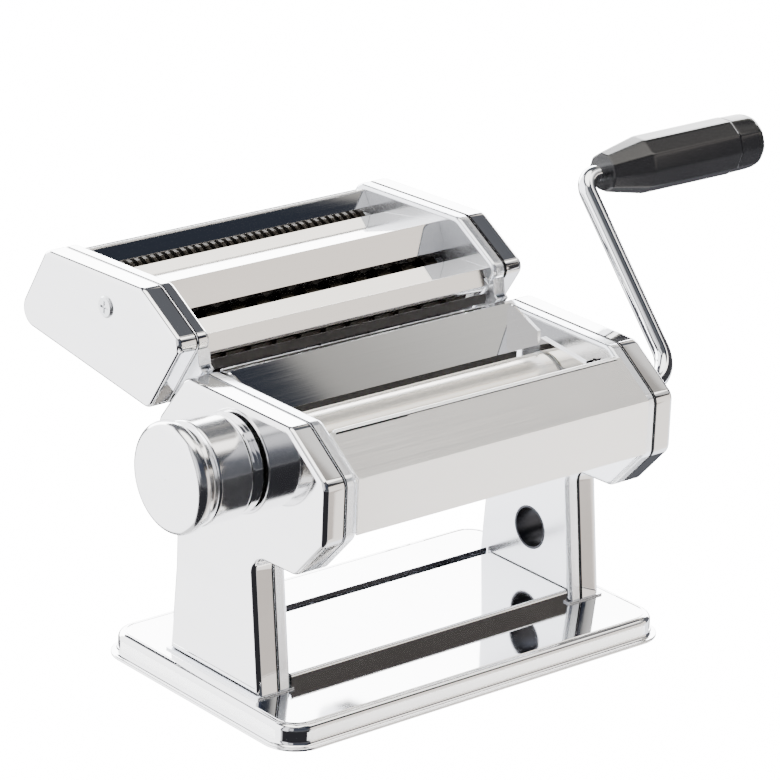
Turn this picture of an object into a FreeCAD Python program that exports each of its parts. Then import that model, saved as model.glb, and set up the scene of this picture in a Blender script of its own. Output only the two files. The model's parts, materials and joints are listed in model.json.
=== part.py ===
import FreeCAD, Part
import Sketcher
import math
import os
import re

# Hand-cranked pasta machine, in millimetres.
# X runs along the rollers, the knob is at -X and the crank at +X. -Y is the front and +Z is up.
# The origin is on the table, midway between the side frames and midway along the base.

SIZES = {
    # side frames: two pressed trays that stand on the base
    "frame_depth": 6.5,
    "frame_sheet": 1.2,
    "frame_edge_radius": 2.0,
    "cover_depth": 10.5,
    "cover_sheet": 1.0,
    "cover_edge_radius": 2.4,
    "frame_corner_radius": 6.0,
    "leg_corner_radius": 7.0,
    # side outline: each pair is a distance along Y and a height
    "head_top_rise": 26.8,
    "head_front": -44.5,
    "head_back": 23.0,
    "nose_front": -68.0,
    "nose_top_rise": 10.0,
    "nose_low_rise": -14.5,
    "chin_front": -50.8,
    "chin_low_rise": -33.3,
    "leg_front": -23.6,
    "leg_top_rise": -34.1,
    "foot_front": -30.5,
    "foot_back": 29.0,
    "leg_back": 26.4,
    "leg_back_top_rise": -39.5,
    "leg_back_low": 48.0,
    "back_edge": 39.7,
    "back_top_rise": 4.8,
    "back_low_rise": -13.5,
    # base tray and the channel between the legs
    "tray_margin": 8.2,
    "tray_half_width": 61.1,
    "tray_height": 9.95,
    "tray_corner_radius": 12.0,
    "tray_shoulder_radius": 3.0,
    "tray_flange": 2.9,
    "tray_sheet": 1.2,
    "foot_plate_sheet": 0.8,
    "foot_plate_margin": 0.8,
    "channel_height": 5.85,
    "channel_front": -29.4,
    "channel_back": 23.6,
    "foot_pad_radius": 7.0,
    "foot_pad_inset": 14.2,
    "foot_block_width": 12.0,
    "foot_block_height": 9.0,
    "foot_block_front": -22.0,
    "foot_block_back": 22.0,
    "base_screw_spacing": 30.0,
    "base_screw_radius": 2.0,
    "base_screw_head_radius": 3.8,
    "base_screw_head_height": 2.2,
    "base_screw_length": 7.0,
    # sheet rollers and their drive
    "axis_height": 103.5,
    "front_axis": -35.4,
    "roller_radius": 13.2,
    "roller_half_length": 72.0,
    "roller_end_room": 3.0,
    "thinnest_sheet": 0.3,
    "journal_radius": 5.0,
    "running_clearance": 0.05,
    "press_clearance": 0.02,
    "side_clearance": 0.3,
    "bush_radius": 7.0,
    "bush_length": 5.6,
    "bush_flange_radius": 9.0,
    "bush_flange_length": 1.2,
    "rear_bush_length": 6.1,
    "roller_gear_teeth": 12.0,
    "roller_gear_room": 4.4,
    "roller_gear_width": 6.5,
    "roller_tooth_pitch_half": 1.1,
    "roller_tooth_addendum": 2.1,
    "roller_tooth_dedendum": 2.5,
    "tooth_flank_slope": 0.36,
    "gear_lean": 1.3,
    "drive_socket_depth": 13.5,
    "drive_pin_radius": 1.2,
    "crank_tip_radius": 3.4,
    "crank_tip_length": 4.8,
    # thickness knob, its eccentric bushes and their link
    "eccentric_offset": 1.7,
    "eccentric_radius": 11.0,
    "eccentric_length": 4.0,
    "eccentric_flange_radius": 12.5,
    "eccentric_flange": 1.1,
    "eccentric_cap": 3.6,
    "link_radius": 2.0,
    "link_reach": 20.0,
    "link_angle": 240.0,
    "link_arm_half": 4.0,
    "knob_shaft_radius": 5.0,
    "knob_shaft_square": 3.6,
    "knob_shaft_reach": 16.5,
    "index_radius": 20.6,
    "index_sheet": 2.5,
    "index_hole_radius": 1.6,
    "index_hole_reach": 15.0,
    "setting_count": 9.0,
    "setting_angle": 16.0,
    "knob_gap": 1.5,
    "knob_body_radius": 21.7,
    "knob_body_length": 16.3,
    "knob_waist_radius": 19.6,
    "knob_waist_length": 4.9,
    "knob_cap_radius": 23.1,
    "knob_cap_length": 5.6,
    "knob_web_depth": 4.0,
    "knob_web_sheet": 3.0,
    "knob_cavity_radius": 11.5,
    "knob_spring_room": 9.6,
    "knob_pull": 4.0,
    "detent_pin_radius": 1.3,
    "spring_wire": 0.6,
    "spring_radius": 7.2,
    "spring_turns": 2.5,
    "spring_pressed_length": 2.3,
    "knob_nut_radius": 8.6,
    "knob_nut_length": 3.0,
    # scrapers under the rollers
    "scraper_sheet": 0.8,
    "scraper_inner_gap": 0.4,
    "scraper_ear": 1.0,
    "scraper_ear_rim": 2.2,
    # crank and grip
    "crank_radius": 3.9,
    "crank_stand_off": 31.0,
    "crank_arm_length": 96.0,
    "crank_arm_angle": 48.3,
    "crank_low_bend": 14.0,
    "crank_high_bend": 8.0,
    "grip_gap": 12.0,
    "grip_shoulder_reach": 12.0,
    "grip_widest_reach": 31.0,
    "grip_body_length": 72.0,
    "grip_cap_length": 20.0,
    "grip_small_radius": 7.4,
    "grip_shoulder_radius": 10.6,
    "grip_radius": 12.8,
    "grip_cap_radius": 12.3,
    "grip_end_radius": 5.5,
    "grip_side_count": 10.0,
    "retainer_radius": 6.5,
    "retainer_length": 3.0,
    # front panel, dough guide and guards
    "panel_sheet": 1.0,
    "panel_stand_off": 0.4,
    "panel_overlap": 1.4,
    "panel_lip_front": -50.9,
    "panel_lip_top_rise": 23.7,
    "panel_low_rise": -13.0,
    "guide_sheet": 0.8,
    "guide_top_back": 21.4,
    "guide_top_front": 16.7,
    "guide_top_rise": 27.8,
    "guide_low_front": 4.8,
    "guide_low_rise": 11.1,
    "guard_sheet": 1.5,
    "guard_front": -33.2,
    "guard_front_top_rise": 15.9,
    "guard_back": -4.9,
    "guard_back_top_rise": 19.1,
    "guard_low_rise": 10.1,
    "tie_rod_radius": 3.0,
    "tie_rod_thread_radius": 2.0,
    "tie_nut_radius": 4.2,
    "tie_nut_height": 3.0,
    # slots near the top front of the inner frames
    "slot_front": -41.0,
    "slot_back": -32.2,
    "slot_front_top_rise": 20.6,
    "slot_back_top_rise": 16.5,
    "slot_width": 1.6,
    # clamp socket in the right leg
    "clamp_hole_place": -3.05,
    "clamp_hole_height": 35.6,
    "clamp_hole_radius": 8.6,
    "clamp_sleeve_sheet": 1.0,
    # rail that the cutter head slides onto
    "rail_start": 3.4,
    "rail_end": 25.2,
    "rail_stem": 1.2,
    "rail_head": 4.0,
    "rail_stem_rise": 2.4,
    "rail_head_rise": 1.3,
    "rail_clearance": 0.3,
    "rail_stop": 1.5,
    "rail_wall": 0.9,
    # cutter head outline
    "cutter_top_front": 53.3,
    "cutter_top_front_rise": 55.2,
    "cutter_nose": 25.6,
    "cutter_nose_rise": 39.0,
    "cutter_chin": 47.6,
    "cutter_chin_rise": 5.1,
    "cutter_heel": 141.3,
    "cutter_heel_rise": 17.5,
    "cutter_back": 120.3,
    "cutter_back_rise": 52.8,
    "cutter_corner_radius": 5.0,
    "cutter_heel_radius": 8.0,
    "cutter_cover_step": 0.5,
    "cutter_edge_radius": 2.4,
    # cutter shafts
    "cutter_radius": 9.5,
    "cutter_core_radius": 7.0,
    "cutter_spacing": 18.0,
    "cutter_end_room": 2.6,
    "cutter_side_gap": 0.15,
    "cutter_ring_sides": 20.0,
    "cutter_core_sides": 12.0,
    "cutter_journal_radius": 4.6,
    "cutter_bush_radius": 6.4,
    "fine_front_axis": 97.2,
    "fine_rise": 33.5,
    "fine_strip": 2.0,
    "wide_front_axis": 48.2,
    "wide_rise": 26.5,
    "wide_strip": 6.5,
    "cutter_gear_teeth": 12.0,
    "cutter_gear_room": 3.8,
    "cutter_gear_width": 6.0,
    "cutter_tooth_pitch_half": 0.95,
    "cutter_tooth_addendum": 1.2,
    "cutter_tooth_dedendum": 1.6,
    # cutter plates, combs and screws
    "plate_sheet": 0.8,
    "rear_plate_lip": 120.0,
    "rear_plate_top": 115.2,
    "rear_plate_rise": 51.2,
    "rear_plate_low": 110.9,
    "slot_rise": 44.5,
    "middle_plate_back": 101.6,
    "middle_ridge": 64.8,
    "middle_ridge_rise": 50.7,
    "middle_plate_low": 59.7,
    "middle_plate_low_rise": 39.0,
    "front_plate_back": 51.0,
    "front_plate_back_rise": 37.7,
    "front_ridge": 32.2,
    "front_ridge_rise": 38.9,
    "front_plate_chin": 30.6,
    "front_plate_chin_rise": 31.5,
    "front_plate_lip": 35.6,
    "front_plate_lip_rise": 27.3,
    "comb_bar_top": 13.0,
    "comb_bar_height": 2.0,
    "comb_exit": 2.5,
    "comb_root_gap": 0.4,
    "cutter_screw_place": 76.5,
    "cutter_screw_rise": 40.8,
    "cutter_screw_radius": 4.6,
    "cutter_screw_head": 1.0,
}

# Sizes that follow from others. Heights of the head are counted from the roller axes, and places
# along X from the frames, so that the parts keep together when one size changes.
DERIVED = {
    "head_top": "axis_height + head_top_rise",
    "nose_top": "axis_height + nose_top_rise",
    "nose_low": "axis_height + nose_low_rise",
    "chin_low": "axis_height + chin_low_rise",
    "leg_top": "axis_height + leg_top_rise",
    "leg_back_top": "axis_height + leg_back_top_rise",
    "back_top": "axis_height + back_top_rise",
    "back_low": "axis_height + back_low_rise",
    "panel_lip_top": "axis_height + panel_lip_top_rise",
    "panel_low": "axis_height + panel_low_rise",
    "guide_top": "axis_height + guide_top_rise",
    "guide_low": "axis_height + guide_low_rise",
    "guard_front_top": "axis_height + guard_front_top_rise",
    "guard_back_top": "axis_height + guard_back_top_rise",
    "guard_low": "axis_height + guard_low_rise",
    "slot_front_top": "axis_height + slot_front_top_rise",
    "slot_back_top": "axis_height + slot_back_top_rise",
    "cutter_top_front_height": "axis_height + cutter_top_front_rise",
    "cutter_nose_height": "axis_height + cutter_nose_rise",
    "cutter_chin_height": "axis_height + cutter_chin_rise",
    "cutter_heel_height": "axis_height + cutter_heel_rise",
    "cutter_back_height": "axis_height + cutter_back_rise",
    "fine_height": "axis_height + fine_rise",
    "wide_height": "axis_height + wide_rise",
    "rear_plate_height": "axis_height + rear_plate_rise",
    "slot_height": "axis_height + slot_rise",
    "middle_ridge_height": "axis_height + middle_ridge_rise",
    "middle_plate_low_height": "axis_height + middle_plate_low_rise",
    "front_plate_back_height": "axis_height + front_plate_back_rise",
    "front_ridge_height": "axis_height + front_ridge_rise",
    "front_plate_chin_height": "axis_height + front_plate_chin_rise",
    "front_plate_lip_height": "axis_height + front_plate_lip_rise",
    "cutter_screw_height": "axis_height + cutter_screw_rise",
    "frame_gap": "2 * (roller_half_length + roller_end_room)",
    "cover_face": "frame_gap / 2 + frame_depth + cover_depth",
    "roller_gear_start": "frame_gap / 2 + roller_gear_room",
    "drive_end": "cover_face - cover_sheet",
    "knob_back": "cover_face + index_sheet + knob_gap",
    "knob_shaft_end": "knob_back + knob_shaft_reach",
    "knob_waist_start": "knob_back + knob_body_length",
    "knob_cap_start": "knob_waist_start + knob_waist_length",
    "knob_cap_front": "knob_cap_start + knob_cap_length",
    "knob_web_start": "knob_back + knob_web_depth",
    "knob_web_end": "knob_web_start + knob_web_sheet",
    "crank_arm_place": "cover_face + crank_stand_off",
    "grip_start": "crank_arm_place + grip_gap",
    "grip_shoulder": "grip_start + grip_shoulder_reach",
    "grip_widest": "grip_start + grip_widest_reach",
    "grip_cap_start": "grip_start + grip_body_length",
    "grip_end": "grip_cap_start + grip_cap_length",
    "cutter_gear_start": "frame_gap / 2 + cutter_gear_room",
    "cutter_cover_end": "cover_face - cutter_cover_step",
    "cutter_half_length": "frame_gap / 2 - cutter_end_room",
    "panel_half_width": "frame_gap / 2 + panel_overlap",
    "tray_half_length": "cover_face + tray_margin",
    "foot_pad_along": "tray_half_length - foot_pad_inset",
    "foot_pad_across": "tray_half_width - foot_pad_inset",
    "fine_ring_count": "floor(cutter_half_length / fine_strip)",
    "wide_ring_count": "floor(cutter_half_length / wide_strip)",
}

X_AXIS = FreeCAD.Vector(1, 0, 0)

# Places worked out from the driving sizes.
FRAME_FACE = "frame_gap / 2"
SEAM = "(frame_gap / 2 + frame_depth)"
COVER_FACE = "(frame_gap / 2 + frame_depth + cover_depth)"
REAR_AXIS = "(front_axis + 2 * roller_radius + thinnest_sheet)"
KNOB_AXIS = "(front_axis + 2 * roller_radius + thinnest_sheet + eccentric_offset)"
AXIS_GAP = "(2 * roller_radius + thinnest_sheet)"
FOOT = "(tray_height + foot_plate_sheet)"
BUSH_START = "(roller_half_length + side_clearance)"
ARM_START = "(frame_gap / 2 - eccentric_flange - side_clearance)"
SOCKET_END = "(drive_end - drive_socket_depth)"
CLAMP_HOLE = (("clamp_hole_place", "clamp_hole_height"), "clamp_hole_radius + clamp_sleeve_sheet + press_clearance")

doc = FreeCAD.newDocument("PastaMachine")
sheet = doc.addObject("Spreadsheet::Sheet", "Sizes")
bodies = []


def fill_sheet():
    for row, (alias, value) in enumerate(SIZES.items(), 1):
        sheet.set(f"A{row}", alias)
        sheet.set(f"B{row}", str(value))
        sheet.setAlias(f"B{row}", alias)
    doc.recompute()


def formula(text):
    def swap(match):
        word = match.group(0)
        if word in DERIVED:
            return "(" + formula(DERIVED[word]) + ")"
        return "Sizes." + word if word in SIZES else word

    return re.sub(r"[a-z][a-z0-9_]*", swap, str(text))


def number(text):
    result = sheet.evalExpression(formula(text))
    return float(getattr(result, "Value", result))


def bind(thing, prop, text):
    thing.setExpression(prop, formula(text))


def new_body(label, y="0", z="0", x="0"):
    body = doc.addObject("PartDesign::Body", "Body_" + label)
    body.Label = label
    bind(body, "Placement.Base.x", x)
    bind(body, "Placement.Base.y", y)
    bind(body, "Placement.Base.z", z)
    bodies.append(body)
    return body


def origin_feature(body, role):
    for feature in body.Origin.OriginFeatures:
        if feature.Role == role:
            return feature
    raise ValueError(role)


def new_sketch(body, plane, offset="0"):
    sketch = body.newObject("Sketcher::SketchObject", "Sketch")
    sketch.AttachmentSupport = [(origin_feature(body, plane), "")]
    sketch.MapMode = "FlatFace"
    bind(sketch, "AttachmentOffset.Base.z", offset)
    return sketch


def place_point(sketch, geometry, position, point):
    for kind, axis, text in (("DistanceX", -2, point[0]), ("DistanceY", -1, point[1])):
        if text == "0":
            sketch.addConstraint(Sketcher.Constraint("PointOnObject", geometry, position, axis))
            continue
        rule = Sketcher.Constraint(kind, -1, 1, geometry, position, number(text))
        index = sketch.addConstraint(rule)
        bind(sketch, f"Constraints[{index}]", text)


def draw_outline(sketch, points):
    spots = [FreeCAD.Vector(number(a), number(b), 0) for a, b in points]
    first = sketch.GeometryCount
    count = len(points)
    for index in range(count):
        line = Part.LineSegment(spots[index], spots[(index + 1) % count])
        sketch.addGeometry(line, False)
    for index in range(count):
        following = first + (index + 1) % count
        sketch.addConstraint(Sketcher.Constraint("Coincident", first + index, 2, following, 1))
    for index, point in enumerate(points):
        place_point(sketch, first + index, 1, point)


def draw_circle(sketch, centre, radius):
    middle = FreeCAD.Vector(number(centre[0]), number(centre[1]), 0)
    circle = Part.Circle(middle, FreeCAD.Vector(0, 0, 1), number(radius))
    geometry = sketch.addGeometry(circle, False)
    place_point(sketch, geometry, 3, centre)
    index = sketch.addConstraint(Sketcher.Constraint("Radius", geometry, number(radius)))
    bind(sketch, f"Constraints[{index}]", radius)


def draw_arc(sketch, centre, radius, begin, finish, joins):
    """An arc between the ends of two lines; joins gives the line and its end for each end of the arc."""
    middle = FreeCAD.Vector(number(centre[0]), number(centre[1]), 0)
    circle = Part.Circle(middle, FreeCAD.Vector(0, 0, 1), number(radius))
    arc = sketch.addGeometry(Part.ArcOfCircle(circle, begin, finish), False)
    for position, (line, end) in enumerate(joins, 1):
        sketch.addConstraint(Sketcher.Constraint("Coincident", arc, position, line, end))
    index = sketch.addConstraint(Sketcher.Constraint("Radius", arc, number(radius)))
    bind(sketch, f"Constraints[{index}]", radius)


def draw_rounded_box(sketch, half_x, half_y, radius):
    long_x = f"({half_x} - ({radius}))"
    long_y = f"({half_y} - ({radius}))"
    lines = [
        ((f"-{long_x}", f"-({half_y})"), (long_x, f"-({half_y})")), ((half_x, f"-{long_y}"), (half_x, long_y)),
        ((long_x, half_y), (f"-{long_x}", half_y)), ((f"-({half_x})", long_y), (f"-({half_x})", f"-{long_y}")),
    ]
    for index, (first, last) in enumerate(lines):
        spots = [FreeCAD.Vector(number(a), number(b), 0) for a, b in (first, last)]
        sketch.addGeometry(Part.LineSegment(spots[0], spots[1]), False)
        place_point(sketch, index, 1, first)
        place_point(sketch, index, 2, last)
    centres = [(long_x, f"-{long_y}"), (long_x, long_y), (f"-{long_x}", long_y), (f"-{long_x}", f"-{long_y}")]
    for index, centre in enumerate(centres):
        begin = math.radians(90 * (index - 1))
        joins = [(index, 2), ((index + 1) % 4, 1)]
        draw_arc(sketch, centre, radius, begin, begin + math.pi / 2, joins)


def draw_strip(sketch, points, thickness):
    """A bent sheet seen edge on: the given line is its outer face, and its body lies to the right."""
    spots = [FreeCAD.Vector(number(a), number(b), 0) for a, b in points]
    depth = number(thickness)
    count = len(spots)
    ways = [(spots[i + 1] - spots[i]).normalize() for i in range(count - 1)]
    sides = [FreeCAD.Vector(way.y, -way.x, 0) for way in ways]
    inner = [spots[0] + sides[0] * depth]
    for index in range(1, count - 1):
        half = (sides[index - 1] + sides[index]).normalize()
        inner.append(spots[index] + half * (depth / half.dot(sides[index])))
    inner.append(spots[-1] + sides[-1] * depth)
    ring = spots + inner[::-1]
    for index, spot in enumerate(ring):
        sketch.addGeometry(Part.LineSegment(spot, ring[(index + 1) % len(ring)]), False)
    for index in range(len(ring)):
        following = (index + 1) % len(ring)
        sketch.addConstraint(Sketcher.Constraint("Coincident", index, 2, following, 1))
    for index, point in enumerate(points):
        place_point(sketch, index, 1, point)
    for index in range(count - 1):
        partner = 2 * count - 2 - index
        sketch.addConstraint(Sketcher.Constraint("Parallel", index, partner))
        rule = Sketcher.Constraint("Distance", partner, 1, index, depth)
        bind(sketch, f"Constraints[{sketch.addConstraint(rule)}]", thickness)
    sketch.addConstraint(Sketcher.Constraint("Perpendicular", count - 1, count - 2))
    sketch.addConstraint(Sketcher.Constraint("Perpendicular", 2 * count - 1, 0))


def extrude(body, sketch, length, cut=False, backwards=False):
    kind = "PartDesign::Pocket" if cut else "PartDesign::Pad"
    before = body.Tip.Shape.Volume if cut else 0.0
    feature = body.newObject(kind, kind.split("::")[1])
    feature.Profile = sketch
    bind(feature, "Length", length)
    feature.Reversed = (not backwards) if cut else backwards
    doc.recompute()
    if cut and not feature.Shape.Volume < before - 1e-6:
        raise ValueError(body.Label + ": a cut removed nothing")
    return feature


def pad(body, plane, start, length, outlines=(), circles=(), backwards=False, cut=False):
    sketch = new_sketch(body, plane, start)
    for points in outlines:
        draw_outline(sketch, points)
    for centre, radius in circles:
        draw_circle(sketch, centre, radius)
    return extrude(body, sketch, length, cut, backwards)


def side_pad(body, side, start, length, outlines=(), circles=(), cut=False):
    """A pad or pocket that runs outwards, away from the middle, on the right (1) or the left (-1)."""
    offset = start if side > 0 else f"-({start})"
    return pad(body, "YZ_Plane", offset, length, outlines, circles, side < 0, cut)


def across_pad(body, half_length, outlines=(), circles=(), cut=False):
    return pad(body, "YZ_Plane", f"-({half_length})", f"2 * ({half_length})", outlines, circles, False, cut)


def strip_pad(body, half_length, points, thickness):
    sketch = new_sketch(body, "YZ_Plane", f"-({half_length})")
    draw_strip(sketch, points, thickness)
    return extrude(body, sketch, f"2 * ({half_length})")


def turned(label, points, y, z):
    """A solid of revolution about a line parallel to X: each point is a place along X and a radius."""
    body = new_body(label, y, z)
    sketch = new_sketch(body, "XZ_Plane")
    draw_outline(sketch, points)
    feature = body.newObject("PartDesign::Revolution", "Revolution")
    feature.Profile = sketch
    feature.ReferenceAxis = (sketch, ["H_Axis"])
    feature.Angle = 360
    doc.recompute()
    return body


def edges_along(shape, way, places, tolerance=0.6):
    """Names of the straight edges along way whose middle is nearest to one of the places."""
    names = []
    for index, edge in enumerate(shape.Edges, 1):
        if len(edge.Vertexes) != 2 or not isinstance(edge.Curve, Part.Line):
            continue
        span = edge.Vertexes[1].Point - edge.Vertexes[0].Point
        if span.Length < 1e-6 or abs(abs(span.normalize().dot(way)) - 1) > 1e-4:
            continue
        middle = edge.CenterOfMass
        for place in places:
            gap = middle - FreeCAD.Vector(*place)
            if (gap - way * gap.dot(way)).Length < tolerance:
                names.append(f"Edge{index}")
                break
    return names


def round_edges(body, names, radius, kind="PartDesign::Fillet"):
    if not names:
        raise ValueError(body.Label + ": no edge to round")
    tip = body.Tip
    feature = body.newObject(kind, kind.split("::")[1])
    feature.Base = (tip, names)
    bind(feature, "Radius" if kind.endswith("Fillet") else "Size", radius)
    doc.recompute()
    if not feature.Shape.Solids:
        raise ValueError(body.Label + ": an edge could not be rounded")
    return feature


def round_corners(body, points, radius):
    places = [(0, number(a), number(b)) for a, b in points]
    return round_edges(body, edges_along(body.Tip.Shape, X_AXIS, places), radius)


def rim_edges(body, x):
    """Names of every edge of the flat face that stands at x."""
    names = []
    for index, edge in enumerate(body.Tip.Shape.Edges, 1):
        box = edge.BoundBox
        if abs(box.XMin - x) < 1e-3 and abs(box.XMax - x) < 1e-3:
            names.append(f"Edge{index}")
    return names


def round_rim(body, x, radius):
    return round_edges(body, rim_edges(body, x), radius)


def bevel_rim(body, x, size):
    return round_edges(body, rim_edges(body, x), size, "PartDesign::Chamfer")


def inset_spots(spots, depth):
    """The corners of a ring that lies inside the given one by the depth; the rings run anticlockwise."""
    count = len(spots)
    ways = [(spots[(i + 1) % count] - spots[i]).normalize() for i in range(count)]
    sides = [FreeCAD.Vector(-way.y, way.x, 0) for way in ways]
    result = []
    for index, spot in enumerate(spots):
        half = (sides[index - 1] + sides[index]).normalize()
        result.append(spot + half * (depth / half.dot(sides[index])))
    return result


def draw_inset(sketch, points, thickness):
    """The inner face of a wall whose outer face follows the points, drawn as construction lines."""
    count = len(points)
    draw_outline(sketch, points)
    for index in range(count):
        sketch.setConstruction(index, True)
    outer = [FreeCAD.Vector(number(a), number(b), 0) for a, b in points]
    inner = inset_spots(outer, number(thickness))
    for index in range(count):
        sketch.addGeometry(Part.LineSegment(inner[index], inner[(index + 1) % count]), False)
    for index in range(count):
        following = count + (index + 1) % count
        sketch.addConstraint(Sketcher.Constraint("Coincident", count + index, 2, following, 1))
    for index in range(count):
        sketch.addConstraint(Sketcher.Constraint("Parallel", index, count + index))
        rule = Sketcher.Constraint("Distance", count + index, 1, index, number(thickness))
        bind(sketch, f"Constraints[{sketch.addConstraint(rule)}]", thickness)
    return inner


def pressed_tray(body, side, start, depth, points, sheet_size, rim, flat_first, rounds):
    """A tray with its flat face inboard if flat_first, else outboard, and open on the other side."""
    side_pad(body, side, start, depth, [points])
    for corners, radius, _ in rounds:
        places = [(0, number(points[i][0]), number(points[i][1])) for i in corners]
        round_edges(body, edges_along(body.Tip.Shape, X_AXIS, places), radius)
    round_rim(body, side * number(start if flat_first else f"{start} + {depth}"), rim)
    core = new_body(body.Label + "_core")
    bodies.remove(core)
    inside = f"{start} + {sheet_size}" if flat_first else f"{start} - 1"
    sketch = new_sketch(core, "YZ_Plane", inside if side > 0 else f"-({inside})")
    inner = draw_inset(sketch, points, sheet_size)
    extrude(core, sketch, f"{depth} - {sheet_size} + 1", backwards=side < 0)
    for corners, _, radius in rounds:
        places = [(0, inner[i].x, inner[i].y) for i in corners]
        round_edges(core, edges_along(core.Tip.Shape, X_AXIS, places, 0.3), radius)
    floor = inside if flat_first else f"{start} + {depth} - {sheet_size}"
    bevel_rim(core, side * number(floor), f"{rim} - {sheet_size}")
    before = body.Tip.Shape.Volume
    boolean = body.newObject("PartDesign::Boolean", "Boolean")
    boolean.setObjects([core])
    boolean.Type = "Cut"
    doc.recompute()
    if not boolean.Shape.Volume < before:
        raise ValueError(body.Label + ": the tray is not hollow")


def repeat_along(body, feature, length, count):
    pattern = body.newObject("PartDesign::LinearPattern", "LinearPattern")
    pattern.Originals = [feature]
    pattern.Direction = (origin_feature(body, "X_Axis"), [""])
    bind(pattern, "Length", length)
    bind(pattern, "Occurrences", count)
    body.Tip = pattern
    doc.recompute()
    return pattern


def repeat_round(body, feature, angle, count):
    pattern = body.newObject("PartDesign::PolarPattern", "PolarPattern")
    pattern.Originals = [feature]
    pattern.Axis = (origin_feature(body, "X_Axis"), [""])
    bind(pattern, "Angle", angle)
    bind(pattern, "Occurrences", count)
    body.Tip = pattern
    doc.recompute()
    return pattern


def group(label, parts):
    """One node of several separate solids, such as a set of like screws."""
    holder = doc.addObject("Part::Compound", "Group_" + label)
    holder.Label = label
    holder.Links = parts
    doc.recompute()
    for part in parts:
        bodies.remove(part)
    bodies.append(holder)
    return holder


def box_points(left, right, low, high):
    return [(left, low), (right, low), (right, high), (left, high)]


# Base: tray, channel, rubber feet and the screws that hold the legs

def rounded_pad(body, start, height, half_x, half_y, radius, cut=False):
    sketch = new_sketch(body, "XY_Plane", start)
    draw_rounded_box(sketch, half_x, half_y, radius)
    return extrude(body, sketch, height, cut)


def base_tray():
    body = new_body("base_tray")
    rounded_pad(body, "0", "tray_height", "tray_half_length", "tray_half_width", "tray_corner_radius")
    top = number("tray_height")
    rim = [f"Edge{i}" for i, e in enumerate(body.Tip.Shape.Edges, 1)
           if abs(e.BoundBox.ZMin - top) < 1e-3 and abs(e.BoundBox.ZMax - top) < 1e-3]
    round_edges(body, rim, "tray_shoulder_radius")
    rounded_pad(body, "0", "tray_sheet", "tray_half_length + tray_flange",
                "tray_half_width + tray_flange", "tray_corner_radius + tray_flange")
    rounded_pad(body, "0", "tray_height - tray_sheet", "tray_half_length - tray_sheet",
                "tray_half_width - tray_sheet", "tray_corner_radius - tray_sheet", True)
    screws = [(place, "base_screw_radius + press_clearance") for place in base_screw_places()]
    pad(body, "XY_Plane", "tray_height - 2 * tray_sheet", "3 * tray_sheet", circles=screws, cut=True)


def base_screw_places():
    middle = f"({SEAM})"
    across = "base_screw_spacing / 2"
    return [(f"{sign}{middle}", f"{turn}({across})") for sign in ("", "-") for turn in ("", "-")]


def base_screws():
    parts = []
    for index, place in enumerate(base_screw_places()):
        body = new_body(f"base_screw_{index}", place[1], "0", place[0])
        head_low = "tray_height - tray_sheet - base_screw_head_height"
        pad(body, "XY_Plane", head_low, "base_screw_head_height",
            circles=[(("0", "0"), "base_screw_head_radius")])
        pad(body, "XY_Plane", "tray_height - tray_sheet", "base_screw_length",
            circles=[(("0", "0"), "base_screw_radius")])
        slot = box_points("-0.5 * base_screw_radius", "0.5 * base_screw_radius",
                          "-base_screw_radius", "base_screw_radius")
        pad(body, "XY_Plane", head_low, "base_screw_head_height / 2", [slot], cut=True)
        parts.append(body)
    group("base_screws", parts)


def foot_pads():
    parts = []
    for sign in ("", "-"):
        for turn in ("", "-"):
            body = new_body(f"foot_pad_{len(parts)}", f"{turn}foot_pad_across", "0", f"{sign}foot_pad_along")
            pad(body, "XY_Plane", "0", "tray_height - tray_sheet", circles=[(("0", "0"), "foot_pad_radius")])
            rim = [f"Edge{i}" for i, e in enumerate(body.Tip.Shape.Edges, 1)
                   if abs(e.BoundBox.ZMax) < 1e-3]
            round_edges(body, rim, "foot_pad_radius / 7", "PartDesign::Chamfer")
            parts.append(body)
    group("rubber_feet", parts)


def cross_channel():
    body = new_body("cross_channel")
    top = "tray_height + channel_height"
    front = "channel_front"
    back = "channel_back"
    inner_front = f"{front} + frame_sheet"
    inner_back = f"{back} - frame_sheet"
    section = [
        (front, "tray_height"), (front, top), (back, top), (back, "tray_height"),
        (inner_back, "tray_height"), (inner_back, f"{top} - frame_sheet"),
        (inner_front, f"{top} - frame_sheet"), (inner_front, "tray_height"),
    ]
    across_pad(body, f"({FRAME_FACE} - foot_plate_margin)", [section])
    round_corners(body, [(front, top), (back, top)], "frame_sheet")


# Side frames: foot plates, inner trays, outer covers

def side_outline():
    return [
        ("head_front", "head_top"), ("nose_front", "nose_top"), ("nose_front", "nose_low"),
        ("chin_front", "chin_low"), ("leg_front", "leg_top"), ("foot_front", FOOT),
        ("foot_back", FOOT), ("leg_back", "leg_back_low"), ("leg_back", "leg_back_top"),
        ("back_edge", "back_low"), ("back_edge", "back_top"), ("head_back", "head_top"),
    ]


def open_foot(body, side, start, depth, sheet_size):
    """Cuts the foot edge of a leg away, where the foot's block stands up inside it."""
    gap = box_points(f"foot_front + 2 * {sheet_size}", f"foot_back - 2 * {sheet_size}",
                     f"{FOOT} - 1", f"{FOOT} + 2 * {sheet_size}")
    side_pad(body, side, start, depth, [gap], cut=True)


def side_rounds(sheet_size):
    """Corner numbers of the side outline with their outer and inner radii."""
    return [
        ((0, 1, 2, 3, 8, 9, 10, 11), "frame_corner_radius", f"frame_corner_radius - {sheet_size}"),
        ((4,), "leg_corner_radius", f"leg_corner_radius + {sheet_size}"),
    ]


def hex_points(place, height, radius):
    rise = f"{radius} * 0.866"
    return [
        (f"{place} + {radius}", height), (f"{place} + {radius} / 2", f"{height} + {rise}"),
        (f"{place} - {radius} / 2", f"{height} + {rise}"), (f"{place} - {radius}", height),
        (f"{place} - {radius} / 2", f"{height} - {rise}"), (f"{place} + {radius} / 2", f"{height} - {rise}"),
    ]


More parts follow.
